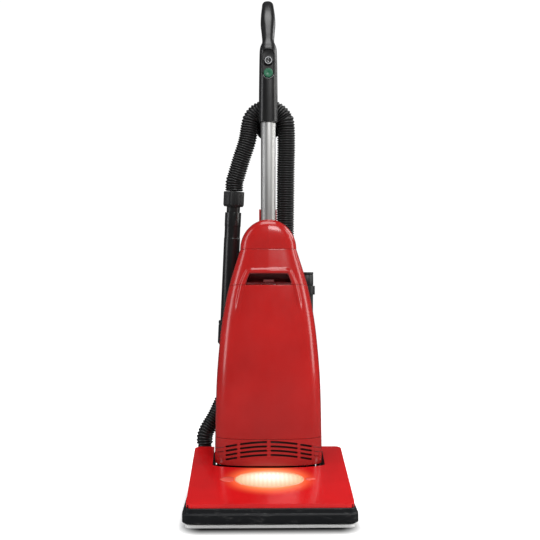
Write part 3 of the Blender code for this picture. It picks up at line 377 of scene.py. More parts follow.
def plastic(*facts, **options):
    return plastic_finish(*facts, **options).material


def rubber(name, colour, roughness=0.62):
    """Matte rubber with a pebbled skin, scuffs and pale dust."""
    made = Finish(name, colour, roughness)
    scuff = made.between(made.noise(45.0, 8.0, made.stretched((1.0, 1.0, 3.0)), 0.7), 0.0, 0.35, 0.56, 0.74)
    tone = made.blend(scuff, colour, (0.16, 0.155, 0.15))
    tone = made.blend(made.math("MULTIPLY", made.edges(), 0.25), tone, (0.22, 0.22, 0.21))
    grains = made.bump(made.noise(900.0, 3.0), 0.00012)
    made.set(
        Base_Color=tone, Roughness=made.between(made.noise(60.0), roughness - 0.08, roughness + 0.1),
        Normal=grains,
    )
    return made.material


def brushed(name, colour, roughness, along=(500.0, 500.0, 6.0), tarnish=0.15):
    """Drawn metal with fine lines along one axis and a few dull patches."""
    made = Finish(name, colour, roughness, 1.0)
    lines = made.noise(1.0, 4.0, made.stretched(along))
    patch = made.noise(7.0, 5.0)
    tone = made.blend(made.between(patch, 0.0, tarnish, 0.45, 0.75), colour, shade(colour, 0.55))
    gloss = made.math("ADD", made.between(lines, roughness - 0.07, roughness + 0.09), 0.0)
    made.set(Base_Color=tone, Roughness=gloss, Normal=made.bump(lines, 0.00003, 0.6))
    return made.material


def woven(name, colour, threads=1100.0, depth=0.00025):
    """Plain weave of fine threads, with slubs and a soft sheen."""
    made = Finish(name, colour, 0.92)
    first = made.add("ShaderNodeTexWave", Vector=made.coordinates, Scale=threads / 20.0)
    first.bands_direction = "X"
    second = made.add("ShaderNodeTexWave", Vector=made.coordinates, Scale=threads / 20.0)
    second.bands_direction = "Z"
    weave = made.math("MULTIPLY", first.outputs["Fac"], second.outputs["Fac"])
    slub = made.noise(160.0, 5.0, made.stretched((0.3, 1.0, 2.5)))
    tone = made.blend(made.between(slub, 0.0, 1.0), shade(colour, 0.82), shade(colour, 1.08))
    tone = made.blend(made.math("MULTIPLY", weave, 0.25), tone, shade(colour, 1.15))
    grime = made.between(made.noise(12.0, 5.0), 0.0, 0.3, 0.5, 0.8)
    tone = made.blend(grime, tone, shade(colour, 0.55))
    made.set(Base_Color=tone, Normal=made.bump(weave, depth, 0.8), Sheen_Weight=0.3, Sheen_Roughness=0.5)
    return made.material


def foam(name, colour):
    """Open-cell foam."""
    made = Finish(name, colour, 0.95)
    cells = made.add("ShaderNodeTexVoronoi", Vector=made.coordinates, Scale=620.0).outputs["Distance"]
    tone = made.blend(made.between(cells, 0.0, 1.0, 0.1, 0.6), shade(colour, 0.45), shade(colour, 1.3))
    made.set(Base_Color=tone, Normal=made.bump(cells, 0.0008, 0.9))
    return made.material


def paper(name, colour):
    """Fibrous filter paper or card."""
    made = Finish(name, colour, 0.88)
    fibre = made.noise(420.0, 6.0, made.stretched((1.0, 1.0, 0.3)), 0.7)
    tone = made.blend(made.between(fibre, 0.0, 1.0), shade(colour, 0.86), shade(colour, 1.05))
    made.set(Base_Color=tone, Normal=made.bump(fibre, 0.00015, 0.7))
    return made.material


def lens_reach(finish, width, length):
    """Distance from the middle of the lens, as a share of this width and length."""
    centre = lens_point(0.0, 0.0, 0.0)
    spread = finish.add("ShaderNodeMapping", Vector=finish.coordinates)
    spread.inputs["Location"].default_value = (-centre.x / width, -centre.y / length, 0.0)
    spread.inputs["Scale"].default_value = (1 / width, 1 / length, 0.0)
    reach = finish.add("ShaderNodeVectorMath", Vector=spread.outputs["Vector"])
    reach.operation = "LENGTH"
    return reach.outputs["Value"]


def glow(name, colour, strength, rim):
    """Lit lens: hottest at the bulb, warmer towards the rim, with the ribs showing as bands."""
    made = Finish(name, (0.12, 0.10, 0.07), 0.12)
    reach = lens_reach(made, LENS_HALF, LENS_HALF * LENS_ASPECT)
    tone = made.blend(made.between(reach, 0.0, 1.0, 0.15, 0.95), colour, rim)
    ribs = made.add("ShaderNodeTexWave", Vector=made.coordinates, Scale=34.0)
    ribs.bands_direction = "X"
    tone = made.blend(made.math("MULTIPLY", ribs.outputs["Fac"], 0.22), tone, shade(rim, 0.7))
    made.set(
        Emission_Color=tone, Emission_Strength=strength, Normal=made.bump(ribs.outputs["Fac"], 0.0004, 0.5),
    )
    return made.material


def lens_point(x, y, lift):
    """Point of the headlight's own plane: x across, y up the slope, lift off it."""
    lean = math.atan(COVER_SLOPE)
    centre = at(0.0, LENS_DEPTH, COVER_FRONT_Z + LENS_DEPTH * COVER_SLOPE)
    return centre + Vector(
        (x, y * math.cos(lean) - lift * math.sin(lean), y * math.sin(lean) + lift * math.cos(lean))
    )


# ---------------------------------------------------------------- mesh helpers
def new_object(name, data):
    obj = bpy.data.objects.new(name, data)
    bpy.context.scene.collection.objects.link(obj)
    return obj


def mesh_object(name, points, faces):
    mesh = bpy.data.meshes.new(name)
    mesh.from_pydata([tuple(point) for point in points], [], faces)
    return new_object(name, mesh)


def settle(obj):
    """Replaces the object's mesh by its evaluated one, and clears the modifiers."""
    graph = bpy.context.evaluated_depsgraph_get()
    graph.update()
    obj.data = bpy.data.meshes.new_from_object(obj.evaluated_get(graph))
    obj.modifiers.clear()
    return obj


def bevelled(obj, width, segments=3, degrees=40):
    edge = obj.modifiers.new("Bevel", "BEVEL")
    edge.width = width
    edge.segments = segments
    edge.limit_method = "ANGLE"
    edge.angle_limit = math.radians(degrees)
    edge.use_clamp_overlap = True
    return obj


def thickened(obj, wall):
    skin = obj.modifiers.new("Solidify", "SOLIDIFY")
    skin.thickness = wall
    skin.offset = -1.0
    return obj


def cut(obj, *cutters, operation="DIFFERENCE"):
    """Cuts, or joins, the other objects and removes them."""
    for cutter in cutters:
        step = obj.modifiers.new("Boolean", "BOOLEAN")
        step.operation = operation
        step.object = cutter
    settle(obj)
    for cutter in cutters:
        bpy.data.objects.remove(cutter, do_unlink=True)
    return obj


def weld(obj, distance=0.00001):
    """Joins points that lie on each other."""
    made = bmesh.new()
    made.from_mesh(obj.data)
    bmesh.ops.remove_doubles(made, verts=made.verts, dist=distance)
    made.to_mesh(obj.data)
    made.free()
    return obj


def join(first, *others):
    """One object from several separate solids."""
    made = bmesh.new()
    for obj in (first, *others):
        made.from_mesh(obj.data)
    made.to_mesh(first.data)
    made.free()
    for obj in others:
        bpy.data.objects.remove(obj, do_unlink=True)
    return first


def fit(obj, body, material, replaces=(), degrees=35):
    """Shades a finished piece, gives it its material and puts it on its body."""
    obj.data.materials.clear()
    obj.data.materials.append(material)
    obj.data.shade_smooth()
    obj.data.set_sharp_from_angle(angle=math.radians(degrees))
    if body:
        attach(obj, body)
    if replaces:
        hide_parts(*replaces)
    return obj


def lattice(rows, ring=False, cap_first=False, cap_last=False):
    """Points and faces through rows of points."""
    width = len(rows[0])
    faces = []
    for row in range(len(rows) - 1):
        low = row * width
        high = low + width
        for column in range(width if ring else width - 1):
            after = (column + 1) % width
            faces.append((low + column, low + after, high + after, high + column))
    if cap_first:
        faces.append(tuple(reversed(range(width))))
    if cap_last:
        last = (len(rows) - 1) * width
        faces.append(tuple(last + column for column in range(width)))
    return [point for row in rows for point in row], faces


def loft(name, rings, caps=True):
    """Solid through rings, anticlockwise from above and lowest first."""
    return mesh_object(name, *lattice(rings, True, caps, caps))


def outward(obj):
    made = bmesh.new()
    made.from_mesh(obj.data)
    bmesh.ops.recalc_face_normals(made, faces=made.faces)
    made.to_mesh(obj.data)
    made.free()
    return obj


def arc(centre_x, centre_y, radius, first, last, steps):
    found = []
    for step in range(steps + 1):
        angle = math.radians(first + (last - first) * step / steps)
        found.append((centre_x + radius * math.cos(angle), centre_y + radius * math.sin(angle)))
    return found


def rounded(points, radius, steps=4, closed=True):
    """Outline with every corner eased over radius, or over a third of a shorter side."""
    found = []
    count = len(points)
    for index, point in enumerate(points):
        if not closed and index in (0, count - 1):
            found.append(tuple(point))
            continue
        here = Vector(point)
        before = Vector(points[index - 1]) - here
        after = Vector(points[(index + 1) % count]) - here
        reach = min(radius, before.length / 2.2, after.length / 2.2)
        start = here + before.normalized() * reach
        end = here + after.normalized() * reach
        for step in range(steps + 1):
            t = step / steps
            place = start * (1 - t) ** 2 + here * 2 * t * (1 - t) + end * t**2
            found.append(tuple(place))
    return found


def rounded_rectangle(x0, y0, x1, y1, radius, steps=8):
    return (
        arc(x1 - radius, y1 - radius, radius, 0, 90, steps)
        + arc(x0 + radius, y1 - radius, radius, 90, 180, steps)
        + arc(x0 + radius, y0 + radius, radius, 180, 270, steps)
        + arc(x1 - radius, y0 + radius, radius, 270, 360, steps)
    )


def stadium(x, y, half_width, half_height, steps=16):
    straight = half_height - half_width
    top = arc(x, y + straight, half_width, 0, 180, steps)
    return top + arc(x, y - straight, half_width, 180, 360, steps)


def axes_of(direction):
    along = direction.normalized()
    side = Vector((1, 0, 0)) if abs(along.x) < 0.9 else Vector((0, 0, 1))
    first = (side - along * side.dot(along)).normalized()
    return first, along.cross(first), along


def turned(name, profile, origin, direction, sides=48, ripple=None):
    """Solid or ring from a closed (radius, height) profile spun about a line.

    ripple(angle, radius, height) gives what to add to the radius there.
    """
    first, second, along = axes_of(direction)
    rows = []
    for step in range(sides):
        angle = 2 * math.pi * step / sides
        out = first * math.cos(angle) + second * math.sin(angle)
        row = []
        for radius, height in profile:
            extra = ripple(angle, radius, height) if ripple and radius > 0 else 0.0
            row.append(origin + out * (radius + extra) + along * height)
        rows.append(row)
    width = len(profile)
    faces = []
    for row in range(sides):
        low = row * width
        high = ((row + 1) % sides) * width
        for column in range(width):
            after = (column + 1) % width
            faces.append((low + column, low + after, high + after, high + column))
    obj = mesh_object(name, [point for row in rows for point in row], faces)
    made = bmesh.new()
    made.from_mesh(obj.data)
    bmesh.ops.remove_doubles(made, verts=made.verts, dist=0.000001)
    bmesh.ops.dissolve_degenerate(made, edges=made.edges, dist=0.0000001)
    bmesh.ops.recalc_face_normals(made, faces=made.faces)
    made.to_mesh(obj.data)
    made.free()
    return obj


def prism(name, outlines, low, high, plane="XY"):
    """Outlines with holes raised between two levels: XY along Z, XZ along Y or YZ along X."""
    curve = bpy.data.curves.new(name, "CURVE")
    curve.dimensions = "2D"
    curve.fill_mode = "BOTH"
    curve.extrude = (high - low) / 2
    for outline in outlines:
        spline = curve.splines.new("POLY")
        spline.points.add(len(outline) - 1)
        for point, place in zip(spline.points, outline):
            point.co = (place[0], place[1], 0.0, 1.0)
        spline.use_cyclic_u = True
    guide = new_object(name, curve)
    graph = bpy.context.evaluated_depsgraph_get()
    graph.update()
    mesh = bpy.data.meshes.new_from_object(guide.evaluated_get(graph))
    bpy.data.objects.remove(guide, do_unlink=True)
    middle = (low + high) / 2
    turns = {
        "XY": Matrix(((1, 0, 0, 0), (0, 1, 0, 0), (0, 0, 1, middle), (0, 0, 0, 1))),
        "XZ": Matrix(((1, 0, 0, 0), (0, 0, -1, middle), (0, 1, 0, 0), (0, 0, 0, 1))),
        "YZ": Matrix(((0, 0, 1, middle), (1, 0, 0, 0), (0, 1, 0, 0), (0, 0, 0, 1))),
    }
    mesh.transform(turns[plane])
    obj = new_object(name, mesh)
    made = bmesh.new()
    made.from_mesh(mesh)
    bmesh.ops.remove_doubles(made, verts=made.verts, dist=0.000005)
    bmesh.ops.recalc_face_normals(made, faces=made.faces)
    made.to_mesh(mesh)
    made.free()
    return obj


def block(name, low, high, radius=0.001, segments=3):
    """Block between two corners given as (x, depth, z), with eased edges."""
    low = at(*low)
    high = at(*high)
    mesh = bpy.data.meshes.new(name)
    made = bmesh.new()
    size = high - low
    place = Matrix.Translation((low + high) / 2) @ Matrix.Diagonal((*size, 1.0))
    bmesh.ops.create_cube(made, size=1.0, matrix=place)
    if radius:
        bmesh.ops.bevel(
            made, geom=made.edges[:], offset=radius, segments=segments, profile=0.6, affect="EDGES",
        )
    made.to_mesh(mesh)
    made.free()
    return new_object(name, mesh)


def smooth_route(points, spacing):
    """Points about spacing apart on a Catmull-Rom curve through the given ones."""
    ends = [points[0] * 2 - points[1], *points, points[-1] * 2 - points[-2]]
    fine = []
    for before, start, end, after in zip(ends, ends[1:], ends[2:], ends[3:]):
        for step in range(16):
            t = step / 16
            fine.append(
                0.5
                * (
                    2 * start
                    + (end - before) * t
                    + (2 * before - 5 * start + 4 * end - after) * t**2
                    + (3 * start - before - 3 * end + after) * t**3
                )
            )
    fine.append(points[-1])
    lengths = [0.0]
    for first, second in zip(fine, fine[1:]):
        lengths.append(lengths[-1] + (second - first).length)
    count = max(2, round(lengths[-1] / spacing))
    route = []
    index = 0
    for step in range(count + 1):
        wanted = lengths[-1] * step / count
        while index < len(fine) - 2 and lengths[index + 1] < wanted:
            index += 1
        part = (wanted - lengths[index]) / (lengths[index + 1] - lengths[index])
        route.append(fine[index].lerp(fine[index + 1], part))
    return route


def rings_along(path, radii, sides=28):
    """Rings of points round a path, without twist."""
    count = len(path)
    side = None
    rings = []
    for index, (place, radius) in enumerate(zip(path, radii)):
        along = (path[min(index + 1, count - 1)] - path[max(index - 1, 0)]).normalized()
        if side is None:
            side = axes_of(along)[0]
        side = (side - along * side.dot(along)).normalized()
        other = along.cross(side)
        ring = []
        for step in range(sides):
            angle = 2 * math.pi * step / sides
            ring.append(place + side * radius * math.cos(angle) + other * radius * math.sin(angle))
        rings.append(ring)
    return rings


def corrugated(name, route, crest, valley, pitch, sides=28, steps=6):
    """Ribbed hose along a route: rounded crests and tighter valleys, with both ends capped."""
    fine = smooth_route(route, pitch / steps)
    radii = []
    for index in range(len(fine)):
        phase = 0.5 - 0.5 * math.cos(2 * math.pi * index / steps)
        radii.append(valley + (crest - valley) * phase**0.6)
    rings = rings_along(fine, radii, sides)
    obj = mesh_object(name, *lattice(rings, True, True, True))
    return outward(obj), fine


# ---------------------------------------------------------------- finishes
BODY_RED = plastic("body_red", (0.365, 0.0090, 0.0080), 0.22, coat=0.25, wear=0.0)
BLACK_GLOSS = plastic("black_gloss", (0.0065, 0.0065, 0.007), 0.30, coat=0.12, wear=0.0)
BLACK_MATTE = plastic("black_matte", (0.0085, 0.0085, 0.009), 0.42, grain=0.00012, wear=0.05)
# Darker red: painted shade, for the hand recess, the groove strips and the latch inside the recess.
RED_IN_PAINTED_SHADE = plastic("dark_red", (0.13, 0.006, 0.007), 0.42, wear=0.06)
GREY_PLASTIC = plastic("grey_plastic", (0.20, 0.20, 0.21), 0.46, grain=0.0001)
# Grey of the printed power marks, also used for the painted glint in the switch recess.
PRINT_AND_GLINT_GREY = plastic("mark_grey", (0.42, 0.43, 0.44), 0.40, grain=0.00002)
GREEN = plastic("green_plastic", (0.004, 0.092, 0.042), 0.30, coat=0.2)
HOSE_PLASTIC = plastic("hose_plastic", (0.0075, 0.0075, 0.0078), 0.34, wear=0.07, dust=0.02)
BUMPER_RUBBER = rubber("bumper_rubber", (0.0045, 0.0055, 0.0075), 0.45)
WHEEL_RUBBER = rubber("wheel_rubber", (0.032, 0.032, 0.034), 0.68)
BELT_RUBBER = rubber("belt_rubber", (0.016, 0.016, 0.016), 0.75)
STEEL = brushed("tube_steel", (0.52, 0.52, 0.51), 0.50)
CROSS_STEEL = brushed("pin_steel", (0.55, 0.55, 0.54), 0.30, along=(6.0, 500.0, 500.0))
PLATE_STEEL = brushed("plate_steel", (0.90, 0.90, 0.89), 0.45, along=(5.0, 420.0, 420.0), tarnish=0.1)
PLATE_STEEL.node_tree.nodes["Principled BSDF"].inputs["Metallic"].default_value = 0.15
REFLECTOR = brushed("reflector", (0.86, 0.86, 0.84), 0.10, along=(60.0, 60.0, 60.0))
COPPER = brushed("copper_windings", (0.60, 0.26, 0.12), 0.35, along=(40.0, 900.0, 900.0))
FILTER_FOAM = foam("filter_foam", (0.055, 0.055, 0.06))
FILTER_PAPER = paper("filter_paper", (0.72, 0.68, 0.58))
BAG_CLOTH = woven("bag_cloth", (0.70, 0.67, 0.60))
BRISTLES = plastic("bristles", (0.035, 0.035, 0.037), 0.60, wear=0.0)
LENS = glow("lens", (1.0, 0.96, 0.84), 1.35, (0.58, 0.36, 0.19))
BULB = glow("bulb", (1.0, 0.88, 0.62), 8.0, (1.0, 0.80, 0.50))


# ---------------------------------------------------------------- the upright's form
def blended(stations, z):
    """Smooth values at height z between stations whose first entry is the height."""
    z = min(max(z, stations[0][0]), stations[-1][0])
    index = 0
    while index < len(stations) - 2 and stations[index + 1][0] < z:
        index += 1
    low = stations[index]
    high = stations[index + 1]
    span = high[0] - low[0]
    t = (z - low[0]) / span

    def slope(at_index, entry):
        before = stations[max(at_index - 1, 0)]
        after = stations[min(at_index + 1, len(stations) - 1)]
        return (after[entry] - before[entry]) / (after[0] - before[0])

    values = []
    for entry in range(1, len(low)):
        rise = t * t * (3 - 2 * t)
        values.append(
            low[entry] * (1 - rise)
            + high[entry] * rise
            + span * slope(index, entry) * t * (1 - t) ** 2
            - span * slope(index + 1, entry) * t * t * (1 - t)
        )
    return values


def squarish(angle):
    """Superellipse point for a direction: 0 is straight ahead, 90 degrees the side."""
    sine = math.sin(angle)
    cosine = math.cos(angle)
    reach = (abs(sine) ** BODY_POWER + abs(cosine) ** BODY_POWER) ** (-1 / BODY_POWER)
    return reach * sine, reach * cosine


def body_point(angle, z, rear=False, inset=0.0):
    """Point of the upright's section at height z, spaced evenly by direction."""
    half, front, back = blended(BODY_STATIONS, z)
    across, reach = squarish(angle)
    if rear:
        middle = BODY_MID + SEAM / 2
        return at((half - inset) * across, middle + (back - inset - middle) * reach, z)
    middle = BODY_MID - SEAM / 2
    crease = BODY_CREASE * (1 - math.sqrt(across**2 + CREASE_ROUND**2))
    return at((half - inset) * across, middle - (middle - front - inset) * reach - crease, z)


def gap_to_line(here, first, second):
    """How far a point is from the straight stretch between two others."""
    share = (here - first).dot(second - first) / (second - first).length_squared
    return (here - first.lerp(second, min(1.0, max(0.0, share)))).length


def ridge(x, z):
    """How far the raised edge stands out of the front there."""
    here = Vector((abs(x), z))
    if not (0.405 < z < 0.530) or here.x > 0.085:
        return 0.0
    nearest = min(
        gap_to_line(here, first, second)
        for first, second in zip(map(Vector, RIDGE), map(Vector, RIDGE[1:]))
    )
    if nearest >= RIDGE_HALF:
        return 0.0
    fade = min(1.0, max(0.0, (z - 0.412) / 0.050))
    return RIDGE_RISE * fade * fade * (3 - 2 * fade) * (1 - (nearest / RIDGE_HALF) ** 2) ** 1.5


def front_surface(angle, z):
    place = body_point(angle, z)
    place.y -= ridge(place.x, z)
    return place


def front_depth(x, z):
    """y of the front surface under (x, z), for pieces that sit on it."""
    low = 0.0
    high = math.pi / 2
    for _ in range(40):
        middle = (low + high) / 2
        if body_point(middle, z).x < abs(x):
            low = middle
        else:
            high = middle
    return front_surface(low, z).y


def door_seam(angle, offset):
    """Height of the door's top seam, an arc about the line that the door tips on."""
    hinge = at(0, *DOOR_HINGE)
    front = at(0, blended(BODY_STATIONS, DOOR_TOP_Z)[1] - BODY_CREASE, DOOR_TOP_Z)
    radius = math.hypot(front.y - hinge.y, front.z - hinge.z) + offset
    place = body_point(angle, DOOR_TOP_Z)
    return hinge.z + math.sqrt(radius**2 - (place.y - hinge.y) ** 2)


def spaced(low, high, step):
    count = max(1, math.ceil((high - low) / step))
    return [low + (high - low) * index / count for index in range(count + 1)]


def front_angles(columns=240):
    return [math.radians(-90 + 180 * index / columns) for index in range(columns + 1)]


def front_shell(name, heights, low, high, columns=240):
    """Front moulding: heights are shares from the low seam to the high one."""
    rows = []
    for share in heights:
        row = []
        for angle in front_angles(columns):
            z = low(angle) * (1 - share) + high(angle) * share
            row.append(front_surface(angle, z))
        rows.append(row)
    return thickened(mesh_object(name, *lattice(rows)), SHELL)


# ---------------------------------------------------------------- camera, floor and light
def build_stage():
    camera = bpy.data.cameras.new("camera")
    camera.lens = 62.5
    camera.sensor_width = 36.0
    eye = new_object("camera", camera)
    eye.location = at(-0.035, -1.88, 0.519)
    eye.rotation_euler = (math.radians(90), 0, math.radians(-1.04))
    bpy.context.scene.camera = eye
    bpy.context.scene.view_settings.view_transform = "Standard"

    mesh = bpy.data.meshes.new("floor")
    made = bmesh.new()
    bmesh.ops.create_circle(made, cap_ends=True, segments=96, radius=40.0)
    made.to_mesh(mesh)
    made.free()
    floor = new_object("floor", mesh)
    floor.location.z = -0.0004
    finish = Finish("floor_paper", (0.86, 0.86, 0.86), 0.75)
    reach = finish.add("ShaderNodeVectorMath", Vector=finish.coordinates)
    reach.operation = "LENGTH"
    lit = finish.between(reach.outputs["Value"], *FLOOR_GLOW, 0.35, 1.6)
    # Painted contact shadow: round a rounded box under the floor head's rest place, the floor's colour
    # darkens to near black and its glow fades out. It stays where it is in every pose.
    parts = finish.add("ShaderNodeSeparateXYZ", Vector=finish.coordinates)
    across = finish.math("SUBTRACT", finish.math("ABSOLUTE", parts.outputs["X"], 0.0), COVER_HALF - 0.034)
    along = finish.math("SUBTRACT", finish.math("ABSOLUTE", parts.outputs["Y"], 0.0), abs(FRONT_Y) - 0.002)
    squares = [finish.math("POWER", finish.math("MAXIMUM", value, 0.0), 2.0) for value in (across, along)]
    away = finish.math("POWER", finish.math("ADD", *squares), 0.5)
    clear_of_painted_shadow = finish.math("POWER", finish.between(away, 0.0, 1.0, 0.004, CONTACT_SHADOW), 1.6)
    finish.set(Base_Color=finish.blend(clear_of_painted_shadow, (0.03, 0.03, 0.03), (0.86, 0.86, 0.86)))
    lit = finish.math("MULTIPLY", lit, clear_of_painted_shadow)
    finish.set(Specular_IOR_Level=0.1, Emission_Color=(1.0, 1.0, 1.0, 1.0), Emission_Strength=lit)
    dull = finish.add("ShaderNodeBsdfDiffuse", Color=(0.10, 0.10, 0.10, 1.0))
    rays = finish.add("ShaderNodeLightPath")
    seen = finish.add("ShaderNodeMixShader", Fac=rays.outputs["Is Glossy Ray"])
    finish.put(seen.inputs[1], finish.shader.outputs["BSDF"])
    finish.put(seen.inputs[2], dull.outputs["BSDF"])
    finish.put(finish.tree.nodes["Material Output"].inputs["Surface"], seen.outputs["Shader"])
    mesh.materials.append(finish.material)

    world = bpy.data.worlds.new("studio")
    bpy.context.scene.world = world
    world.use_nodes = True
    tree = world.node_tree
    sky = tree.nodes["Background"]
    sky.inputs["Color"].default_value = (1.0, 1.0, 1.0, 1.0)
    sky.inputs["Strength"].default_value = WORLD_STRENGTH
    shown = tree.nodes.new("ShaderNodeBackground")
    shown.inputs["Color"].default_value = (1.0, 1.0, 1.0, 1.0)
    shown.inputs["Strength"].default_value = 1.05
    dim = tree.nodes.new("ShaderNodeBackground")
    dim.inputs["Color"].default_value = (1.0, 1.0, 1.0, 1.0)
    dim.inputs["Strength"].default_value = MIRRORED_STRENGTH
    rays = tree.nodes.new("ShaderNodeLightPath")
    mirrored = tree.nodes.new("ShaderNodeMixShader")
    tree.links.new(rays.outputs["Is Glossy Ray"], mirrored.inputs["Fac"])
    tree.links.new(sky.outputs["Background"], mirrored.inputs[1])
    tree.links.new(dim.outputs["Background"], mirrored.inputs[2])
    chosen = tree.nodes.new("ShaderNodeMixShader")
    tree.links.new(rays.outputs["Is Camera Ray"], chosen.inputs["Fac"])
    tree.links.new(mirrored.outputs["Shader"], chosen.inputs[1])
    tree.links.new(shown.outputs["Background"], chosen.inputs[2])
    tree.links.new(chosen.outputs["Shader"], tree.nodes["World Output"].inputs["Surface"])

    for name, place, width, height, power, colour in LIGHTS:
        light = bpy.data.lights.new(name, "AREA")
        light.shape = "RECTANGLE"
        light.size = width
        light.size_y = height
        light.energy = power
        light.color = colour
        lamp = new_object(name, light)
        lamp.location = at(*place)
        target = at(0.0, 0.25, 0.45)
        lamp.rotation_euler = (target - lamp.location).to_track_quat("-Z", "Y").to_euler()


build_stage()


# ---------------------------------------------------------------- hoses
def wand_line():
    foot = at(*WAND_FOOT)
    return foot, (at(*WAND_HEAD) - foot).normalized()


def upper_hose_route():
    """From the wand's cuff up over the hook and down to the port in the rear housing."""
    foot, along = wand_line()
    start = foot + along * 0.3522
    points = [start, start + along * 0.020, at(-0.0740, 0.3215, 0.7400), at(-0.0620, 0.3190, 0.7800)]
    points.append(at(-0.0490, 0.3170, 0.8200))
    for x, z in arc(0, LOOP_Z, LOOP_R, 170, 10, 8):
        points.append(at(x, LOOP_DEPTH, z))
    points += [at(0.0430, 0.3180, 0.8150), at(0.0420, 0.3230, 0.7500), at(0.0415, 0.3300, 0.6800)]
    points += [at(PORT_X, 0.3370, 0.6100), at(PORT_X, 0.3430, 0.5400), at(PORT_X, 0.3470, 0.4970)]
    points.append(at(PORT_X, 0.3470, PORT_Z + 0.0470))
    return points


def lower_hose_route():
    """From the port behind the left lobe up to the foot of the wand's socket."""
    foot, along = wand_line()
    end = foot - along * 0.1142
    top = at(-DUCT_X, 0.3435, DUCT_Z + 0.0296)
    points = [top, top + Vector((0, 0, 0.016)), at(-0.1430, 0.3445, 0.1420), at(-0.1240, 0.3460, 0.1740)]
    return [*points, at(-0.1080, 0.3462, 0.2080), end - along * 0.017, end]


def build_hoses():
    """The stretch from the hook down to the port rides with the upright; the stretch from the wand's cuff
    over the hook and the short hose to the floor head go on no body.
    """
    points = upper_hose_route()
    whole = smooth_route(points, 0.002)
    parting = min(range(len(whole)), key=lambda i: (whole[i] - at(LOOP_R, LOOP_DEPTH, LOOP_Z)).length)
    lifted_path = whole[: parting + 1]
    fixed_path = whole[parting:]
    lifted, centres = corrugated("hose_to_wand", lifted_path, HOSE_R, HOSE_R - 0.0034, HOSE_PITCH)
    fit(lifted, None, HOSE_PLASTIC, ("upper_hose",), 60)
    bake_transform(lifted)
    fixed, centres = corrugated("hose_to_port", fixed_path, HOSE_R, HOSE_R - 0.0034, HOSE_PITCH)
    fit(fixed, "upright", HOSE_PLASTIC, ("upper_hose",), 60)
    lower = lower_hose_route()
    short, centres = corrugated("hose_to_floor_head", lower, LOWER_HOSE_R, LOWER_HOSE_R - 0.0034, LOWER_PITCH)
    fit(short, None, HOSE_PLASTIC, ("lower_hose",), 60)
    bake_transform(short)


build_hoses()


# ---------------------------------------------------------------- front mouldings of the upright


def recess_outline(inset=0.0, foot_z=0.4882):
    """Rounded trapezoid of the hand recess, as (x, z) points."""
    top = RECESS_TOP_Z - inset
    foot = foot_z + inset
    corners = [
        (-RECESS_FOOT_HALF + inset, foot),
        (RECESS_FOOT_HALF - inset, foot),
        (RECESS_TOP_HALF - inset, top),
        (-RECESS_TOP_HALF + inset, top),
    ]
    return rounded(corners, 0.0045 - min(inset, 0.003), 8)


def build_front():
    cover = front_shell(
        "motor_cover_shell", spaced(0, 1, 0.04), lambda a: 0.0860, lambda a: COVER_TOP_Z - SEAM,
    )
    settle(cover)
    slots = []
    for z in GRILLE_ROWS:
        for start, end, half in GRILLE:
            for way in (-1, 1):
                slots.append(slot_cutter(way * start, way * end, z, half))
    cut(cover, join(*slots))
    fit(bevelled(cover, 0.00035, 2, 50), "upright", BODY_RED, ("motor_cover",))

    heights = spaced(0, 0.72, 0.015) + spaced(0.72, 1.0, 0.0042)[1:]
    door = front_shell("bag_door_shell", heights, lambda a: COVER_TOP_Z, lambda a: door_seam(a, -SEAM))
    fit(bevelled(door, FRONT_EDGE, 3, 60), "door", BODY_RED, ("bag_door",))

    panel = front_shell(
        "handle_panel_shell", spaced(0, 1, 0.016), lambda a: door_seam(a, 0.0), lambda a: CAP_Z - SEAM,
    )
    settle(bevelled(panel, FRONT_EDGE, 3, 60))
    mouth = recess_outline(-0.0002, DOOR_TOP_Z - 0.01)
    cut(panel, prism("recess_cutter", [mouth], FRONT_Y + 0.19, FRONT_Y + 0.245, "XZ"))
    fit(panel, "upright", BODY_RED, ("handle_panel",))

    # The hand recess's bowl takes the darker red: painted shade inside the recess.
    rings = []
    for inset, back, lift in RECESS_STEPS:
        ring = []
        for x, z in recess_outline(inset):
            share = (z - 0.4882) / (RECESS_TOP_Z - 0.4882)
            y = front_depth(x, z) + back if back < 0.006 else FRONT_Y + 0.222 + back
            ring.append((x, y, z + lift * max(0.0, share)))
        rings.append(ring)
    bowl = mesh_object("hand_recess", *lattice(rings, True, False, True))
    thickened(outward(bowl), 0.0012)
    fit(bowl, "upright", RED_IN_PAINTED_SHADE, ("handle_pocket",), 50)


def build_groove_shade_strips():
    """Thin dark strips that carry the grille's rows on round the sides: painted shade standing in for shallow
    grooves.
    """
    for way, side in ((-1, "left"), (1, "right")):
        rows = []
        for index, z in enumerate(GRILLE_ROWS):
            band = []
            for angle in front_angles():
                place = front_surface(angle, z)
                if place.x * way < GROOVE_START:
                    continue
                low = z - GRILLE_ARCH * (place.x / 0.1) ** 2
                if low < GROOVE_FLOOR:
                    continue
                band.append([front_surface(angle, low + step) for step in (0.0009, 0.0003, -0.0003, -0.0009)])
            strip = mesh_object(f"groove_{side}_{index}", *lattice(band))
            rows.append(thickened(outward(strip), 0.0001))
        fit(join(*rows), "upright", RED_IN_PAINTED_SHADE, (), 50).name = "grille_groove_shade_" + side


def slot_cutter(start, end, z, half):
    """Cutter for one slot of the grille, following the rows' arch, with round ends."""
    def row(x):
        return z - GRILLE_ARCH * (x / 0.1) ** 2

    low, high = sorted((start, end))
    xs = spaced(low + half, high - half, 0.006)
    upper = [(x, row(x) + half) for x in reversed(xs)]
    lower = [(x, row(x) - half) for x in xs]
    right = arc(xs[-1], row(xs[-1]), half, -90, 90, 6)[1:-1]
    left = arc(xs[0], row(xs[0]), half, 90, 270, 6)[1:-1]
    return prism("slot", [lower + right + upper + left], FRONT_Y + 0.170, FRONT_Y + 0.250, "XZ")


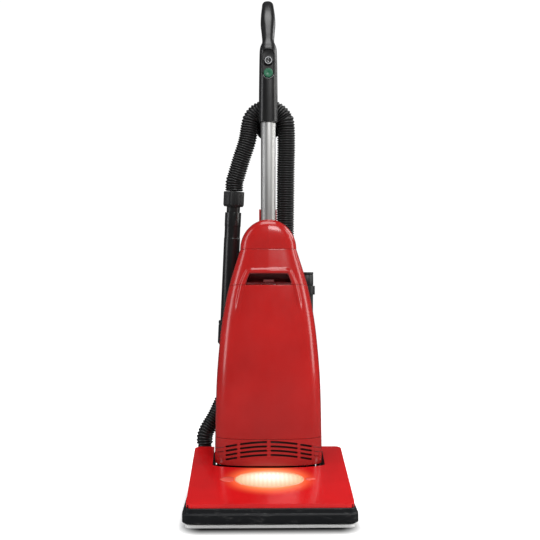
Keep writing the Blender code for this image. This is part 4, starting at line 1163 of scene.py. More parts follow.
def dome_rows(rear):
    """Half of the dome, from its seam up, with a rounded rim along the side seam."""
    rows = []
    for step in range(26):
        angle = math.radians(87.0) * step / 25
        t = math.sin(angle)
        narrow = math.cos(angle) * (1.008 if rear else 1.0)
        shallow = (1 - t**4) ** 0.25
        row = []
        for column in range(97):
            turn = math.radians(-90 + 180 * column / 96)
            place = body_point(-turn if rear else turn, CAP_Z, rear)
            x = place.x * narrow
            middle = FRONT_Y + BODY_MID + (SEAM / 2 if rear else -SEAM / 2)
            y = middle + (place.y - middle) * shallow
            row.append(Vector((x, y, CAP_Z + (DOME_RISE - 0.0004) * t)))
        rows.append(row)
    return rows


def build_dome():
    for rear, name in ((False, "dome_front"), (True, "dome_rear")):
        half = mesh_object(name, *lattice(dome_rows(rear)))
        settle(thickened(weld(half, 0.00002), SHELL))
        middle = FRONT_Y + TUBE_DEPTH
        start = Vector((SLEEVE_X, middle, CAP_Z + 0.02))
        hole = [(0.0, 0.08), (SLEEVE_R + 0.0005, 0.08), (SLEEVE_R + 0.0005, 0.0), (0.0, 0.0)]
        cut(half, turned("sleeve_hole", hole, start, Vector((0, 0, 1)), 64))
        replaced = ("top_cap",)
        fit(bevelled(half, FRONT_EDGE, 3, 60), "upright", BODY_RED, replaced)


def build_rear():
    rows = []
    for z in spaced(0.1050, CAP_Z - SEAM, 0.010):
        row = []
        for angle in front_angles(120):
            row.append(body_point(-angle, z, rear=True))
        rows.append(row)
    shell = settle(thickened(mesh_object("rear_shell", *lattice(rows)), SHELL))
    bore = [(0.0, 0.05), (0.0192, 0.05), (0.0192, 0.0), (0.0, 0.0)]
    cut(shell, turned("port_cutter", bore, at(PORT_X, 0.290, PORT_Z), Vector((0, 1, 0)), 48))
    fit(bevelled(shell, FRONT_EDGE, 3, 60), "upright", BODY_RED, ("rear_housing",))

    low, high, cut_z = 0.500, 0.658, 0.598
    outer = arc(SLEEVE_X, FRONT_Y + TUBE_DEPTH, SLEEVE_R, -2, 182, 32)
    inner = arc(0.0, FRONT_Y + TUBE_DEPTH, TUBE_R + 0.0004, 180, 0, 32)
    upper = prism("sleeve_back", [outer + inner], cut_z, high)
    fit(bevelled(upper, 0.0008, 3, 50), "upright", BODY_RED, ("rear_housing",))
    circle = arc(SLEEVE_X, FRONT_Y + TUBE_DEPTH, SLEEVE_R, 0, 354, 59)
    hole = arc(0.0, FRONT_Y + TUBE_DEPTH, TUBE_R + 0.0004, 0, 354, 59)
    lower = prism("sleeve_foot", [circle, hole], low, cut_z - 0.0002)
    fit(lower, "upright", BODY_RED, ("rear_housing",))
    fit(block("sleeve_web", (-0.006, 0.2902, 0.5250), (0.006, 0.3075, 0.5625), 0.001), "upright", BODY_RED)
    for x, z in SCREWS:
        screw_in_well("rear_screw", x, z)


def rear_depth(x, z):
    low = 0.0
    high = math.pi / 2
    for _ in range(40):
        middle = (low + high) / 2
        if body_point(middle, z, True).x < abs(x):
            low = middle
        else:
            high = middle
    return body_point(low, z, True).y


def screw_in_well(name, x, z):
    """Raised boss with a sunk cross-head screw on the rear shell."""
    y = rear_depth(x, z)
    place = Vector((x, y - 0.0020, z))
    tag = f"{name}_{round((x + 1) * 1000)}_{round(z * 1000)}"
    wall = rounded([(0.0036, 0.0), (0.0036, 0.0030), (0.0062, 0.0030), (0.0070, 0.0)], 0.0007)
    boss = turned(tag + "_boss", wall, place, Vector((0, 1, 0)), 32)
    fit(boss, "upright", BODY_RED)
    head = [(0.0, 0.0), (0.0, 0.0016), (0.0018, 0.0015), (0.0029, 0.0010), (0.0032, 0.0)]
    screw = turned(tag, head, place, Vector((0, 1, 0)), 24)
    fit(screw, "upright", CROSS_STEEL)
    for turn in (0.0, 90.0):
        bar = block(
            tag + f"_slot_{round(turn)}", (-0.0017, -FRONT_Y - 0.00045, -0.00035),
            (0.0017, -FRONT_Y, 0.00035), 0.0,
        )
        place_bar = Matrix.Translation(
            place + Vector((0, 0.00178, 0))
        ) @ Matrix.Rotation(math.radians(20 + turn), 4, "Y")
        bar.data.transform(place_bar)
        fit(bar, "upright", BLACK_MATTE)


build_front()
build_groove_shade_strips()
build_dome()
build_rear()


# ---------------------------------------------------------------- floor head
def slope_above(name, drop, height=0.10):
    """Everything above the cover's sloping top, lowered by drop."""
    lean = math.atan(COVER_SLOPE)
    obj = block(name, (-0.25, -0.10, 0.0), (0.25, 0.45, height), 0.0)
    centre = at(0.0, 0.175, height / 2)
    foot = at(0.0, 0.175, COVER_FRONT_Z + 0.175 * COVER_SLOPE - drop)
    turn = Matrix.Rotation(lean, 4, "X")
    place = foot + Vector((0, -math.sin(lean), math.cos(lean))) * height / 2
    obj.data.transform(Matrix.Translation(place) @ turn @ Matrix.Translation(-centre))
    return obj


def bay_arc(half, front, bulge, steps=32):
    """Bowed front edge of the bay, from +X to -X."""
    found = []
    for step in range(steps + 1):
        angle = math.pi * step / steps
        found.append((half * math.cos(angle), FRONT_Y + front - bulge * math.sin(angle)))
    return found


def on_slope(points, lift):
    return [lens_point(x, y, lift) for x, y in points]


def oval(half, aspect, sides=96):
    return [(half * x, half * aspect * y) for x, y in arc(0, 0, 1, 0, 360 - 360 / sides, sides - 1)]


def build_cover():
    rear = FRONT_Y + COVER_DEPTH
    outline = rounded_rectangle(-COVER_HALF, FRONT_Y, COVER_HALF, rear, CORNER, 12)
    cover = prism("floor_head_cover", [outline], SKIRT_Z - 0.012, 0.118)
    cut(cover, slope_above("slope", 0.0))
    bay = bay_arc(LOBE_INNER, BAY_FRONT, BAY_BULGE)
    bay += [(-LOBE_INNER, rear + 0.01), (LOBE_INNER, rear + 0.01)]
    cut(cover, prism("bay", [bay], 0.0, 0.13))
    settle(bevelled(cover, COVER_EDGE, 6, 50))
    side = COVER_HALF - WALL
    inner = LOBE_INNER + WALL
    arch = bay_arc(inner, BAY_FRONT - WALL, BAY_BULGE)
    room = [(-side, FRONT_Y + WALL), (side, FRONT_Y + WALL), (side, rear - WALL), (inner, rear - WALL)]
    room += [*arch, (-inner, rear - WALL), (-side, rear - WALL)]
    cavity = prism("cavity", [room], 0.0, 0.118)
    cut(cavity, slope_above("cavity_slope", WALL))
    cut(cover, cavity, block("below", (-0.25, -0.1, -0.01), (0.25, 0.4, SKIRT_Z), 0.0))
    hole = oval(LENS_HALF + 0.0006, LENS_ASPECT)
    cut(cover, loft("lens_cutter", [on_slope(hole, -0.02), on_slope(hole, 0.02)]))
    depth, height = PIVOT
    reach = 0.012
    for way in (-1, 1):
        low, high = sorted((way * (LOBE_INNER - 0.002), way * (LOBE_INNER + WALL + 0.002)))
        slot = block("pin_slot", (low, depth - reach, 0.03), (high, depth + reach, height + reach), 0.0)
        cut(cover, slot)
    bore = [(0.0, 0.02), (DUCT_R + 0.0006, 0.02), (DUCT_R + 0.0006, 0.0), (0.0, 0.0)]
    place = at(-DUCT_X, COVER_DEPTH - 0.010, DUCT_Z)
    cut(cover, turned("duct_hole", bore, place, Vector((0, 1, 0)), 48))
    fit(cover, "base", COVER_GLOW, ("base_cover",), 32)


def lit_cover():
    """The cover's red plastic, with the headlight's light bleeding into it round the lens."""
    finish = plastic_finish("lit_cover_red", (0.60, 0.007, 0.009), 0.20, coat=0.25, wear=0.0)
    near = finish.between(lens_reach(finish, GLOW_REACH, GLOW_REACH * 0.80), 1.0, 0.0, 0.35, 1.0)
    near = finish.math("POWER", near, 2.2)
    finish.set(Emission_Color=finish.blend(near, (0.0, 0.0, 0.0), (1.0, 0.32, 0.10)), Emission_Strength=2.0)
    return finish.material


COVER_GLOW = lit_cover()


def build_headlight():
    rings = []
    steps = 26
    for step in range(steps + 1):
        share = math.sin(math.pi / 2 * (1 - step / steps))
        half = LENS_HALF * share
        crown = 0.0060 * (1 - share**2.2)
        ring = []
        for x, y in oval(half, LENS_ASPECT, 144):
            rib = 0.00035 * math.cos(2 * math.pi * x / LENS_RIB) * min(1.0, (1 - share) * 8)
            ring.append(lens_point(x, y, crown + rib))
        rings.append(ring)
    lens = mesh_object("headlight_glass", *lattice(rings[:-1], True, False, True))
    thickened(outward(lens), 0.0016)
    fit(lens, "base", LENS, ("headlight_lens",), 50)

    # Bead round the lens, in a pale red that paints its highlight.
    section = rounded([(0.0, -0.0012), (0.0, 0.0011), (0.0022, 0.0008), (0.0024, -0.0012)], 0.0006)
    rows = []
    sides = 120
    for step in range(sides):
        angle = 2 * math.pi * step / sides
        row = []
        for out, lift in section:
            half = LENS_HALF + 0.0004 + out
            row.append(
                lens_point(
                    half * math.cos(angle), (LENS_HALF * LENS_ASPECT + 0.0004 + out) * math.sin(angle), lift,
                )
            )
        rows.append(row)
    rim = mesh_object("headlight_rim", *lattice([*rows, rows[0]], True))
    weld(rim)
    fit(outward(rim), "base", RIM_PAINTED_HIGHLIGHT, (), 50)

    for name, tip, root, half in (
        ("left_facet", -0.1060, -0.0765, 0.0135), ("right_facet", 0.0990, 0.0775, 0.0062),
    ):
        build_facet(name, tip, root, half)


# Pale salmon red for the bead round the lens: a painted highlight.
RIM_PAINTED_HIGHLIGHT = plastic("rim_red", (0.92, 0.42, 0.28), 0.18, coat=0.5, wear=0.0)
# Lighter, glossier red for the leaves beside the lens: a painted highlight.
FACET_PAINTED_HIGHLIGHT = plastic("facet_red", (0.78, 0.11, 0.08), 0.16, coat=0.6, wear=0.0)


def build_facet(name, tip, root, half):
    """Raised leaf of the cover beside the lens, highest along its middle, in a lighter red that paints a
    highlight.
    """
    rows = []
    for step in range(21):
        share = step / 20
        x = tip + (root - tip) * share
        reach = half * (math.sin(math.pi * min(share, 0.93) / 1.25)) ** 0.8 + 0.00005
        row = []
        for column in range(17):
            across = -1 + 2 * column / 16
            lift = 0.0011 * (1 - across**2) * math.sin(math.pi * share) ** 0.6 - 0.0002
            row.append(lens_point(x, across * reach, lift))
        rows.append(row)
    leaf = mesh_object(name, *lattice(rows if tip < root else rows[::-1]))
    thickened(leaf, 0.0009)
    fit(leaf, "base", FACET_PAINTED_HIGHLIGHT, (), 60)


def path_normals(path):
    """Level outward direction at each point of an open path that runs round the front."""
    found = []
    count = len(path)
    for index in range(count):
        ahead = Vector(path[min(index + 1, count - 1)]) - Vector(path[max(index - 1, 0)])
        ahead.normalize()
        found.append(Vector((ahead.y, -ahead.x)))
    return found


def build_bumper():
    side = COVER_HALF + 0.0002
    nose = FRONT_Y - 0.0002
    rear = FRONT_Y + 0.215
    path = [(-side, y) for y in spaced(nose + CORNER, rear, 0.012)[::-1]]
    path += arc(-side + CORNER, nose + CORNER, CORNER, 180, 270, 14)[1:]
    path += [(x, nose) for x in spaced(-side + CORNER, side - CORNER, 0.010)[1:]]
    path += arc(side - CORNER, nose + CORNER, CORNER, 270, 360, 14)[1:]
    path += [(side, y) for y in spaced(nose + CORNER, rear, 0.012)[1:]]
    corners = [
        (0.0, 0.0112), (0.0078, 0.0118), (0.0080, 0.0298), (0.0034, 0.0310), (0.0032, 0.0409), (0.0, 0.0409),
    ]
    section = rounded(corners, 0.0012, 5)
    rows = []
    for (x, y), normal in zip(path, path_normals(path)):
        row = []
        for out, z in section:
            notch = 0.0012 * math.exp(
                -((x / 0.0022) ** 2)
            ) if abs(z - 0.0298) < 0.0016 and y < FRONT_Y + 0.02 else 0.0
            row.append((x + normal.x * out, y + normal.y * out, z - notch))
        rows.append(row)
    strip = mesh_object("bumper", *lattice(rows, True, True, True))
    fit(outward(strip), "base", BUMPER_RUBBER, ("bumper_strip",), 40)


def build_sole():
    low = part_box("sole_plate")[0]
    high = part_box("sole_plate")[1]
    plate = rounded_rectangle(low.x, low.y, high.x, high.y, CORNER, 12)
    mouth = rounded_rectangle(-0.1480, FRONT_Y + 0.0140, 0.1480, FRONT_Y + 0.0750, 0.006)
    sole = prism("sole", [plate, mouth], low.z, high.z)
    settle(bevelled(sole, 0.0011, 3, 50))
    for x, half, tall in SOLE_NOTCHES:
        notch = block("notch", (x - half, -0.006, high.z - tall), (x + half, 0.0005, high.z + 0.002), 0.0)
        cut(sole, notch)
    fit(sole, "base", PLATE_STEEL, ("sole_plate",), 30)
    for index, (x, depth) in enumerate(
        ((-0.1600, 0.0420), (0.1600, 0.0420), (-0.1600, 0.0100), (0.1600, 0.0100))
    ):
        head = rounded([(0.0, 0.0), (0.0, 0.0009), (0.0030, 0.0009), (0.0034, 0.0)], 0.0004)
        screw = turned(f"sole_screw_{index}", head, at(x, depth, low.z + 0.0001), Vector((0, 0, -1)), 24)
        fit(screw, "base", CROSS_STEEL)


def wheel(name, x, depth, radius, half, bore, body, node):
    """Wheel with a grooved tread, a dished face and a hub."""
    way = 1 if x > 0 else -1
    rim = radius * 0.74
    profile = [
        (bore, half), (bore + 0.004, half), (bore + 0.005, half - 0.0018), (rim - 0.0015, half - 0.0018),
        (rim, half),
    ]
    profile += [(radius - 0.0016, half), (radius, half - 0.0016), (radius, 0.0014), (radius - 0.0009, 0.0008)]
    profile += [
        (radius - 0.0009, -0.0008), (radius, -0.0014), (radius, -half + 0.0016), (radius - 0.0016, -half),
    ]
    profile += [
        (rim, -half), (rim - 0.0015, -half + 0.0018), (bore + 0.005, -half + 0.0018), (bore + 0.004, -half),
        (bore, -half),
    ]
    made = turned(name, rounded(profile, 0.0007, 3), at(x, depth, radius), Vector((way, 0, 0)), 56, tread)
    fit(made, body, WHEEL_RUBBER, (node,), 40)


def tread(angle, radius, height):
    """Fine cross ribs on the outer tread."""
    return -0.00025 * (0.5 + 0.5 * math.cos(28 * angle)) if radius > 0.0148 and abs(height) > 0.001 else 0.0


def build_wheels():
    for way, name in ((-1, "left"), (1, "right")):
        x, depth, radius = REAR_WHEEL
        wheel(
            "wheel_rear_" + name, way * x, depth, radius, 0.0100, 0.0033, "rear_wheel_" + name,
            "rear_wheel_" + name,
        )
        x, depth, radius = FRONT_WHEEL
        wheel(
            "wheel_front_" + name, way * x, depth, radius, 0.0070, 0.0028, "front_wheel_" + name,
            "front_wheel_" + name,
        )


def build_brush():
    """Brush roll with two spiral rows of bristle tufts."""
    half = 0.1425
    groove = (0.0890, 0.1010)
    profile = [
        (0.0, 0.1490), (0.0040, 0.1490), (0.0040, half), (0.0155, half), (0.0155, groove[1]),
        (0.0125, groove[1]),
    ]
    profile += [
        (0.0125, groove[0]), (0.0155, groove[0]), (0.0155, -half), (0.0040, -half), (0.0040, -0.1490),
        (0.0, -0.1490),
    ]
    centre = at(0, *ROLL)
    roll = turned("roll", rounded(profile, 0.0006, 2, True), centre, Vector((1, 0, 0)), 48)
    draw = random.Random(TUFT_SEED)
    tufts = bmesh.new()
    for row in range(2):
        for index in range(TUFTS):
            x = -TUFT_HALF + 2 * TUFT_HALF * index / (TUFTS - 1)
            if groove[0] - 0.006 < x < groove[1] + 0.006:
                continue
            angle = math.pi * row + TUFT_TWIST * math.pi * index / (TUFTS - 1)
            out = Vector((0, math.cos(angle), math.sin(angle)))
            for _ in range(BRISTLES_A_TUFT):
                lean = Vector(
                    (draw.uniform(-0.12, 0.12), 0, 0)
                ) + out.cross(Vector((1, 0, 0))) * draw.uniform(-0.12, 0.12)
                root = centre + Vector((x, 0, 0)) + out * 0.0148 + Vector(
                    (draw.uniform(-0.0012, 0.0012), 0, 0)
                )
                direction = (out + lean).normalized()
                turn = direction.to_track_quat("Z", "Y").to_matrix().to_4x4()
                reach = BRISTLE_LENGTH * draw.uniform(0.93, 1.0)
                place = Matrix.Translation(root + direction * reach / 2) @ turn
                bmesh.ops.create_cone(
                    tufts, cap_ends=True, segments=5, radius1=0.00038, radius2=0.00018, depth=reach,
                    matrix=place,
                )
    mesh = bpy.data.meshes.new("tufts")
    tufts.to_mesh(mesh)
    tufts.free()
    fit(roll, "brush", BLACK_MATTE, ("brush_roll",), 40)
    fit(new_object("bristle_tufts", mesh), "brush", BRISTLES, (), 60)


def build_duct():
    route = [at(-DUCT_X, 0.0830, 0.0400), at(-DUCT_X, 0.1500, 0.0550), at(-DUCT_X, 0.2150, 0.0670)]
    route.append(at(-DUCT_X, 0.2750, 0.0765))
    for y, z in arc(0.3185, DUCT_Z + 0.0250, 0.0250, -90, 0, 8):
        route.append(at(-DUCT_X, y, z))
    route.append(at(-DUCT_X, 0.3435, DUCT_Z + 0.0290))
    elbow("duct", route, DUCT_R, DUCT_BORE, "base", ("suction_duct",))


def build_liners():
    """Dark fins that line the bay's two sides behind the cover's lobes."""
    for way, name in ((-1, "left"), (1, "right")):
        low, high = sorted((way * 0.1222, way * 0.1246))
        outline = [(FRONT_Y + 0.207, 0.0350), (FRONT_Y + 0.330, 0.0350), (FRONT_Y + 0.330, 0.0920)]
        outline += [(FRONT_Y + 0.300, 0.0930), (FRONT_Y + 0.207, 0.0790)]
        bore = arc(FRONT_Y + PIVOT[0], PIVOT[1], 0.0110, 0, 352.5, 47)
        fin = prism("bay_liner_" + name, [rounded(outline, 0.004, 4), bore], low, high, "YZ")
        fit(bevelled(fin, 0.0004, 2, 50), "base", BLACK_MATTE, (), 40)


def elbow(name, route, radius, bore, body, nodes):
    """Smooth moulded pipe with a bore, a little narrower at its last ring."""
    fine = smooth_route(route, 0.004)
    count = len(fine)
    outside = [radius] * count
    outside[-1] = radius - 0.0006
    shell = rings_along(fine, outside, 40)
    inner = rings_along(fine, [bore] * count, 40)
    pipe = mesh_object(name, *lattice([*shell, *inner[::-1], shell[0]], True))
    fit(outward(weld(pipe)), body, BLACK_MATTE, nodes, 40)


def build_pedal():
    """Ribbed pad on the release pedal."""
    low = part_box("release_pedal")[0]
    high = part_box("release_pedal")[1]
    ribs = []
    count = 6
    for index in range(count):
        depth = 0.3415 + 0.0152 * index / (count - 1)
        ribs.append(
            block(
                f"rib_{index}", (low.x + 0.0022, depth - 0.0007, high.z - 0.0006),
                (high.x - 0.0022, depth + 0.0007, high.z + 0.0007), 0.0003, 2,
            )
        )
    fit(join(*ribs), "pedal", WHEEL_RUBBER)


build_cover()
build_headlight()
build_bumper()
build_sole()
build_wheels()
build_brush()
build_duct()
build_pedal()
build_liners()


# ---------------------------------------------------------------- grip and switches
def grip_station(share):
    """Depth, height, half width, half depth and direction at a share of the way up the grip."""
    count = len(GRIP_STATIONS)
    place = share * (count - 1)
    index = min(int(place), count - 2)
    local = place - index
    around = [GRIP_STATIONS[min(max(index + step, 0), count - 1)] for step in (-1, 0, 1, 2)]

    def value(amount):
        found = []
        for a, b, c, d in zip(*around):
            found.append(
                b + 0.5 * amount * (
                    c - a + amount * (2 * a - 5 * b + 4 * c - d + amount * (3 * (b - c) + d - a))
                )
            )
        return found

    here = value(local)
    near = value(local + 0.01)
    along = Vector((0, near[0] - here[0], near[1] - here[1])).normalized()
    return here, along


def grip_half(name, front):
    rows = []
    for step in range(101):
        (depth, z, half, deep), along = grip_station(step / 100)
        back = Vector((0, along.z, -along.y))
        way = -1 if front else 1
        middle = at(0, depth, z) + back * way * GRIP_SEAM / 2
        row = []
        for column in range(49):
            angle = math.radians(-90 + 180 * column / 48)
            sine = math.sin(angle)
            across = half * math.copysign(abs(sine) ** 0.85, sine)
            reach = deep * max(math.cos(angle), 0.0) ** 0.85
            place = middle + Vector((-way * across, 0, 0)) + back * way * reach
            place.z = min(place.z, GRIP_TOP)
            row.append(place)
        rows.append(row)
    return thickened(mesh_object(name, *lattice(rows)), 0.0024)


def grip_front(x, z):
    """World depth of the grip's front face near the switches."""
    low = GRIP_STATIONS[0]
    for high in GRIP_STATIONS[1:]:
        if z <= high[1]:
            break
        low = high
    share = (z - low[1]) / (high[1] - low[1])
    depth, _, half, deep = [a + (b - a) * share for a, b in zip(low, high)]
    sine = min(abs(x) / half, 0.999) ** (1 / 0.85)
    return FRONT_Y + depth - GRIP_SEAM / 2 - deep * (1 - sine**2) ** 0.425


def build_grip():
    front = grip_half("grip_front", True)
    opening = [stadium(0, RECESS_Z, 0.0142, 0.0357, 24)]
    cut(front, prism("opening", opening, FRONT_Y + 0.236, FRONT_Y + 0.264, "XZ"))
    fit(front, "upright", BLACK_GLOSS, ("grip_front_shell",), 42)
    fit(grip_half("grip_rear", False), "upright", BLACK_GLOSS, ("grip_rear_shell",), 42)

    rings = []
    for inset, sink, flat in SWITCH_STEPS:
        ring = []
        for x, z in stadium(0, RECESS_Z, 0.0142 - inset, 0.0357 - inset, 24):
            y = grip_front(x, z) * (1 - flat) + (FRONT_Y + 0.2562) * flat
            ring.append((x, y + sink, z))
        rings.append(ring)
    bowl = mesh_object("switch_recess", *lattice([[*ring, ring[0]] for ring in rings]))
    weld(bowl)
    floor = mesh_object("recess_floor", rings[-1], [list(range(len(rings[-1])))])
    weld(join(bowl, floor))
    thickened(bowl, 0.0009)
    holes = []
    for z in (POWER_Z, BRUSH_Z):
        profile = [(0.0, 0.03), (BUTTON_R + 0.0006, 0.03), (BUTTON_R + 0.0006, -0.03), (0.0, -0.03)]
        holes.append(turned("button_hole", profile, at(0, 0.2562, z), Vector((0, -1, 0)), 48))
    cut(bowl, *holes)
    fit(bowl, "upright", BLACK_MATTE, ("switch_bezel",), 40)

    build_button("power_switch", POWER_Z, BLACK_GLOSS, "power", "power_button")
    build_button("brush_switch_cap", BRUSH_Z, GREEN, "brush_switch", "brush_button")
    ring = turned(
        "power_ring",
        rounded([(0.0068, -0.0002), (0.0068, 0.0004), (0.0079, 0.0004), (0.0079, -0.0002)], 0.0002),
        at(0, 0.2504, POWER_Z), Vector((0, -1, 0)), 48,
    )
    fit(ring, "power", PRINT_AND_GLINT_GREY, (), 40)
    for index, (x, z) in enumerate(((0.0, 0.0032), (0.0, -0.0032))):
        bar = prism(
            f"power_mark_{index}", [stadium(x, POWER_Z + z, 0.0006, 0.0012, 6)], FRONT_Y + 0.2501,
            FRONT_Y + 0.2506, "XZ",
        )
        fit(bar, "power", PRINT_AND_GLINT_GREY, (), 40)
    # Grey crescent round the foot of the green button: a painted glint on the recess's lip.
    crescent = []
    for step in range(25):
        angle = math.radians(200 + 140 * step / 24)
        row = []
        for out, lift in arc(0, 0, 0.0006, 0, 315, 7):
            reach = 0.0128 + out
            x, z = reach * math.cos(angle), BRUSH_Z + reach * 0.98 * math.sin(angle)
            row.append((x, FRONT_Y + 0.2550 - 0.0004 - lift, z))
        crescent.append(row)
    fit(
        outward(mesh_object("recess_painted_glint", *lattice(crescent, True, True, True))), "upright", PRINT_AND_GLINT_GREY,
        (), 60,
    )
    for index, (depth, z) in enumerate(((0.2895, 0.880), (0.2895, 1.010))):
        head = rounded([(0.0, 0.0), (0.0, 0.0010), (0.0028, 0.0010), (0.0032, 0.0)], 0.0004)
        fit(
            turned(f"grip_screw_{index}", head, at(0, depth, z), Vector((0, 1, 0)), 24), "upright",
            CROSS_STEEL, (), 40,
        )


def build_button(name, z, material, body, node):
    corners = [
        (0.0, 0.0026), (0.0045, 0.0029), (BUTTON_R - 0.0005, 0.0031), (BUTTON_R, 0.0014), (BUTTON_R, -0.0070),
        (0.0, -0.0070),
    ]
    cap = turned(name, rounded(corners, 0.0006, 4), at(0, 0.2531, z), Vector((0, -1, 0)), 64)
    fit(cap, body, material, (node,), 40)


def build_handle():
    low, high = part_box("handle_tube")[0].z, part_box("handle_tube")[1].z
    wall = [(TUBE_R - 0.0015, high), (TUBE_R, high), (TUBE_R, low), (TUBE_R - 0.0015, low)]
    tube = turned("tube", rounded(wall, 0.0004, 2), at(0, TUBE_DEPTH, 0), Vector((0, 0, 1)), 96)
    fit(tube, "upright", STEEL, ("handle_tube",), 40)
    collar = rounded(
        [
            (TUBE_R + 0.0002, 0.0), (TUBE_R + 0.0002, 0.0035), (TUBE_R + 0.0022, 0.0035),
            (TUBE_R + 0.0026, 0.0),
        ],
        0.0006,
    )
    fit(
        turned("grip_collar", collar, at(0, TUBE_DEPTH, 0.8576), Vector((0, 0, 1)), 64), "upright",
        BLACK_MATTE, (), 40,
    )
    gland = [
        (0.0, 0.0), (0.0080, 0.0), (0.0080, -0.004), (0.0058, -0.0055), (0.0058, -0.007), (0.0050, -0.0075),
        (0.0053, -0.009),
    ]
    gland += [
        (0.0048, -0.0095), (0.0050, -0.011), (0.0045, -0.0115), (0.0047, -0.013), (0.0043, -0.0135),
        (0.0044, -0.016), (0.0, -0.016),
    ]
    made = turned("gland", rounded(gland, 0.0004, 2), at(0, 0.2917, 0.9310), Vector((0, -1, 0)), 40)
    fit(made, "upright", BLACK_MATTE, ("cord_gland",), 40)
    hub = [(0.0, 0.0480), (0.0290, 0.0480), (0.0290, 0.0450), (0.0185, 0.0430), (0.0185, 0.0), (0.0, 0.0)]
    made = turned("hose_hub", rounded(hub, 0.0012, 4), at(0, 0.2918, LOOP_Z), Vector((0, 1, 0)), 56)
    fit(made, "upright", BLACK_MATTE, ("hose_hook",), 40)


# ---------------------------------------------------------------- wand, cuff and tool
def flutes(angle, radius, height):
    return -0.0009 * (0.5 + 0.5 * math.cos(20 * angle)) if radius > 0.0236 else 0.0


def build_wand():
    foot, along = wand_line()
    length = (at(*WAND_HEAD) - foot).length
    pipe = [
        (0.0165, length), (WAND_R, length), (WAND_R, 0.2700), (WAND_R - 0.0006, 0.2690),
        (WAND_R - 0.0006, 0.2420),
    ]
    pipe += [
        (WAND_R, 0.2410), (WAND_R, 0.0500), (WAND_R - 0.0004, 0.0494), (WAND_R, 0.0488), (WAND_R, 0.0),
        (0.0165, 0.0),
    ]
    fit(
        turned("wand_tube", rounded(pipe, 0.0005, 3), foot, along, 72), "wand", BLACK_GLOSS,
        ("wand",), 40,
    )
    cuff = [
        (0.0130, 0.3507), (0.0232, 0.3507), (0.0243, 0.3496), (0.0243, 0.3200), (0.0222, 0.3158),
        (0.0158, 0.3150),
    ]
    cuff += [
        (0.0156, 0.3000), (0.0152, 0.2995), (0.0152, 0.2965), (0.0156, 0.2960), (0.0156, 0.2750),
        (0.0130, 0.2750),
    ]
    made = turned("fluted_cuff", rounded(cuff, 0.0005, 3), foot, along, 160, flutes)
    fit(made, "wand", BLACK_MATTE, ("hose_cuff",), 50)
    cup = [
        (0.0195, 0.0460), (0.0230, 0.0460), (0.0230, 0.0400), (0.0224, 0.0394), (0.0224, 0.0362),
        (0.0230, 0.0356),
    ]
    cup += [
        (0.0230, -0.0060), (0.0182, -0.0120), (0.0178, -0.1130), (0.0135, -0.1130), (0.0135, -0.0006),
        (0.0195, -0.0006),
    ]
    socket = turned("socket", rounded(cup, 0.0009, 4), foot, along, 64)
    lug = block("lug", (-0.0980, 0.3148, 0.3600), (-0.0880, 0.3185, 0.3850), 0.0012, 3)
    catches = [
        block(f"catch_{i}", (-0.1150, 0.3360, z - 0.0050), (-0.1105, 0.3460, z + 0.0050), 0.0012, 3)
        for i, z in enumerate((0.3180, 0.2850))
    ]
    fit(join(socket, lug, *catches), "upright", BLACK_MATTE, ("wand_socket",), 40)


def tool_rings(stations, sides=56):
    circle = arc(0, 0, 1, 0, 360 - 360 / sides, sides - 1)
    rings = []
    for z, half, deep in stations:
        rings.append([at(TOOL_X + x * half, TOOL_DEPTH + y * deep, z) for x, y in circle])
    return rings


def build_tool():
    outside = (
        (0.3000, 0.0139, 0.0056), (0.3008, 0.0145, 0.0062), (0.3500, 0.0146, 0.0078),
        (0.4000, 0.01475, 0.0098),
    )
    outside += (
        (0.4200, 0.0148, 0.0108), (0.4500, 0.0149, 0.0132), (0.4750, 0.0150, 0.0150),
        (0.4835, 0.0151, 0.0151),
    )
    outside += (
        (0.4850, 0.0155, 0.0155), (0.5060, 0.0155, 0.0155), (0.5066, 0.0151, 0.0151),
        (0.5084, 0.0151, 0.0151),
    )
    outside += ((0.5090, 0.0155, 0.0155), (0.5132, 0.0155, 0.0155), (0.5140, 0.0149, 0.0149))
    bore = (
        (0.2900, 0.0120, 0.0038), (0.4200, 0.0126, 0.0086), (0.4800, 0.0126, 0.0126),
        (0.5200, 0.0130, 0.0130),
    )
    tool = loft("crevice_nozzle", tool_rings(outside))
    cut(tool, loft("nozzle_bore", tool_rings(bore)))
    fit(tool, "tool", BLACK_MATTE, ("crevice_tool",), 40)
    ring = [(0.0162, 0.4816), (0.0192, 0.4816), (0.0192, 0.4610), (0.0162, 0.4610)]
    holder = turned("tool_clip", rounded(ring, 0.0008, 4), at(TOOL_X, TOOL_DEPTH, 0), Vector((0, 0, 1)), 64)
    arm = block("clip_arm", (0.0700, 0.3125, 0.4640), (0.0800, 0.3225, 0.4780), 0.0012, 3)
    fit(join(holder, arm), "upright", BLACK_MATTE, ("tool_holder",), 40)


build_grip()
build_handle()
build_wand()
build_tool()


# ---------------------------------------------------------------- filters and bag
def build_filters():
    low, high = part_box("exhaust_filter")
    front, back = low.y + 0.0012, high.y - 0.0012
    zigzag = []
    for index in range(PLEATS + 1):
        x = low.x + 0.003 + (high.x - low.x - 0.006) * index / PLEATS
        zigzag.append((x, front if index % 2 else back))
    rows = [[Vector((x, y, z)) for x, y in zigzag] for z in spaced(low.z + 0.0030, high.z - 0.0030, 0.004)]
    folded = thickened(mesh_object("exhaust_pleats", *lattice(rows)), 0.0008)
    fit(folded, "upright", FILTER_FOAM, ("exhaust_filter",), 20)
    outer = rounded_rectangle(low.x, low.z, high.x, high.z, 0.003, 6)
    inner = rounded_rectangle(low.x + 0.004, low.z + 0.004, high.x - 0.004, high.z - 0.004, 0.002, 6)
    frame = prism("exhaust_frame", [outer, inner], low.y, high.y, "XZ")
    settle(bevelled(frame, 0.0006, 2))
    fit(frame, "upright", BLACK_MATTE, (), 40)


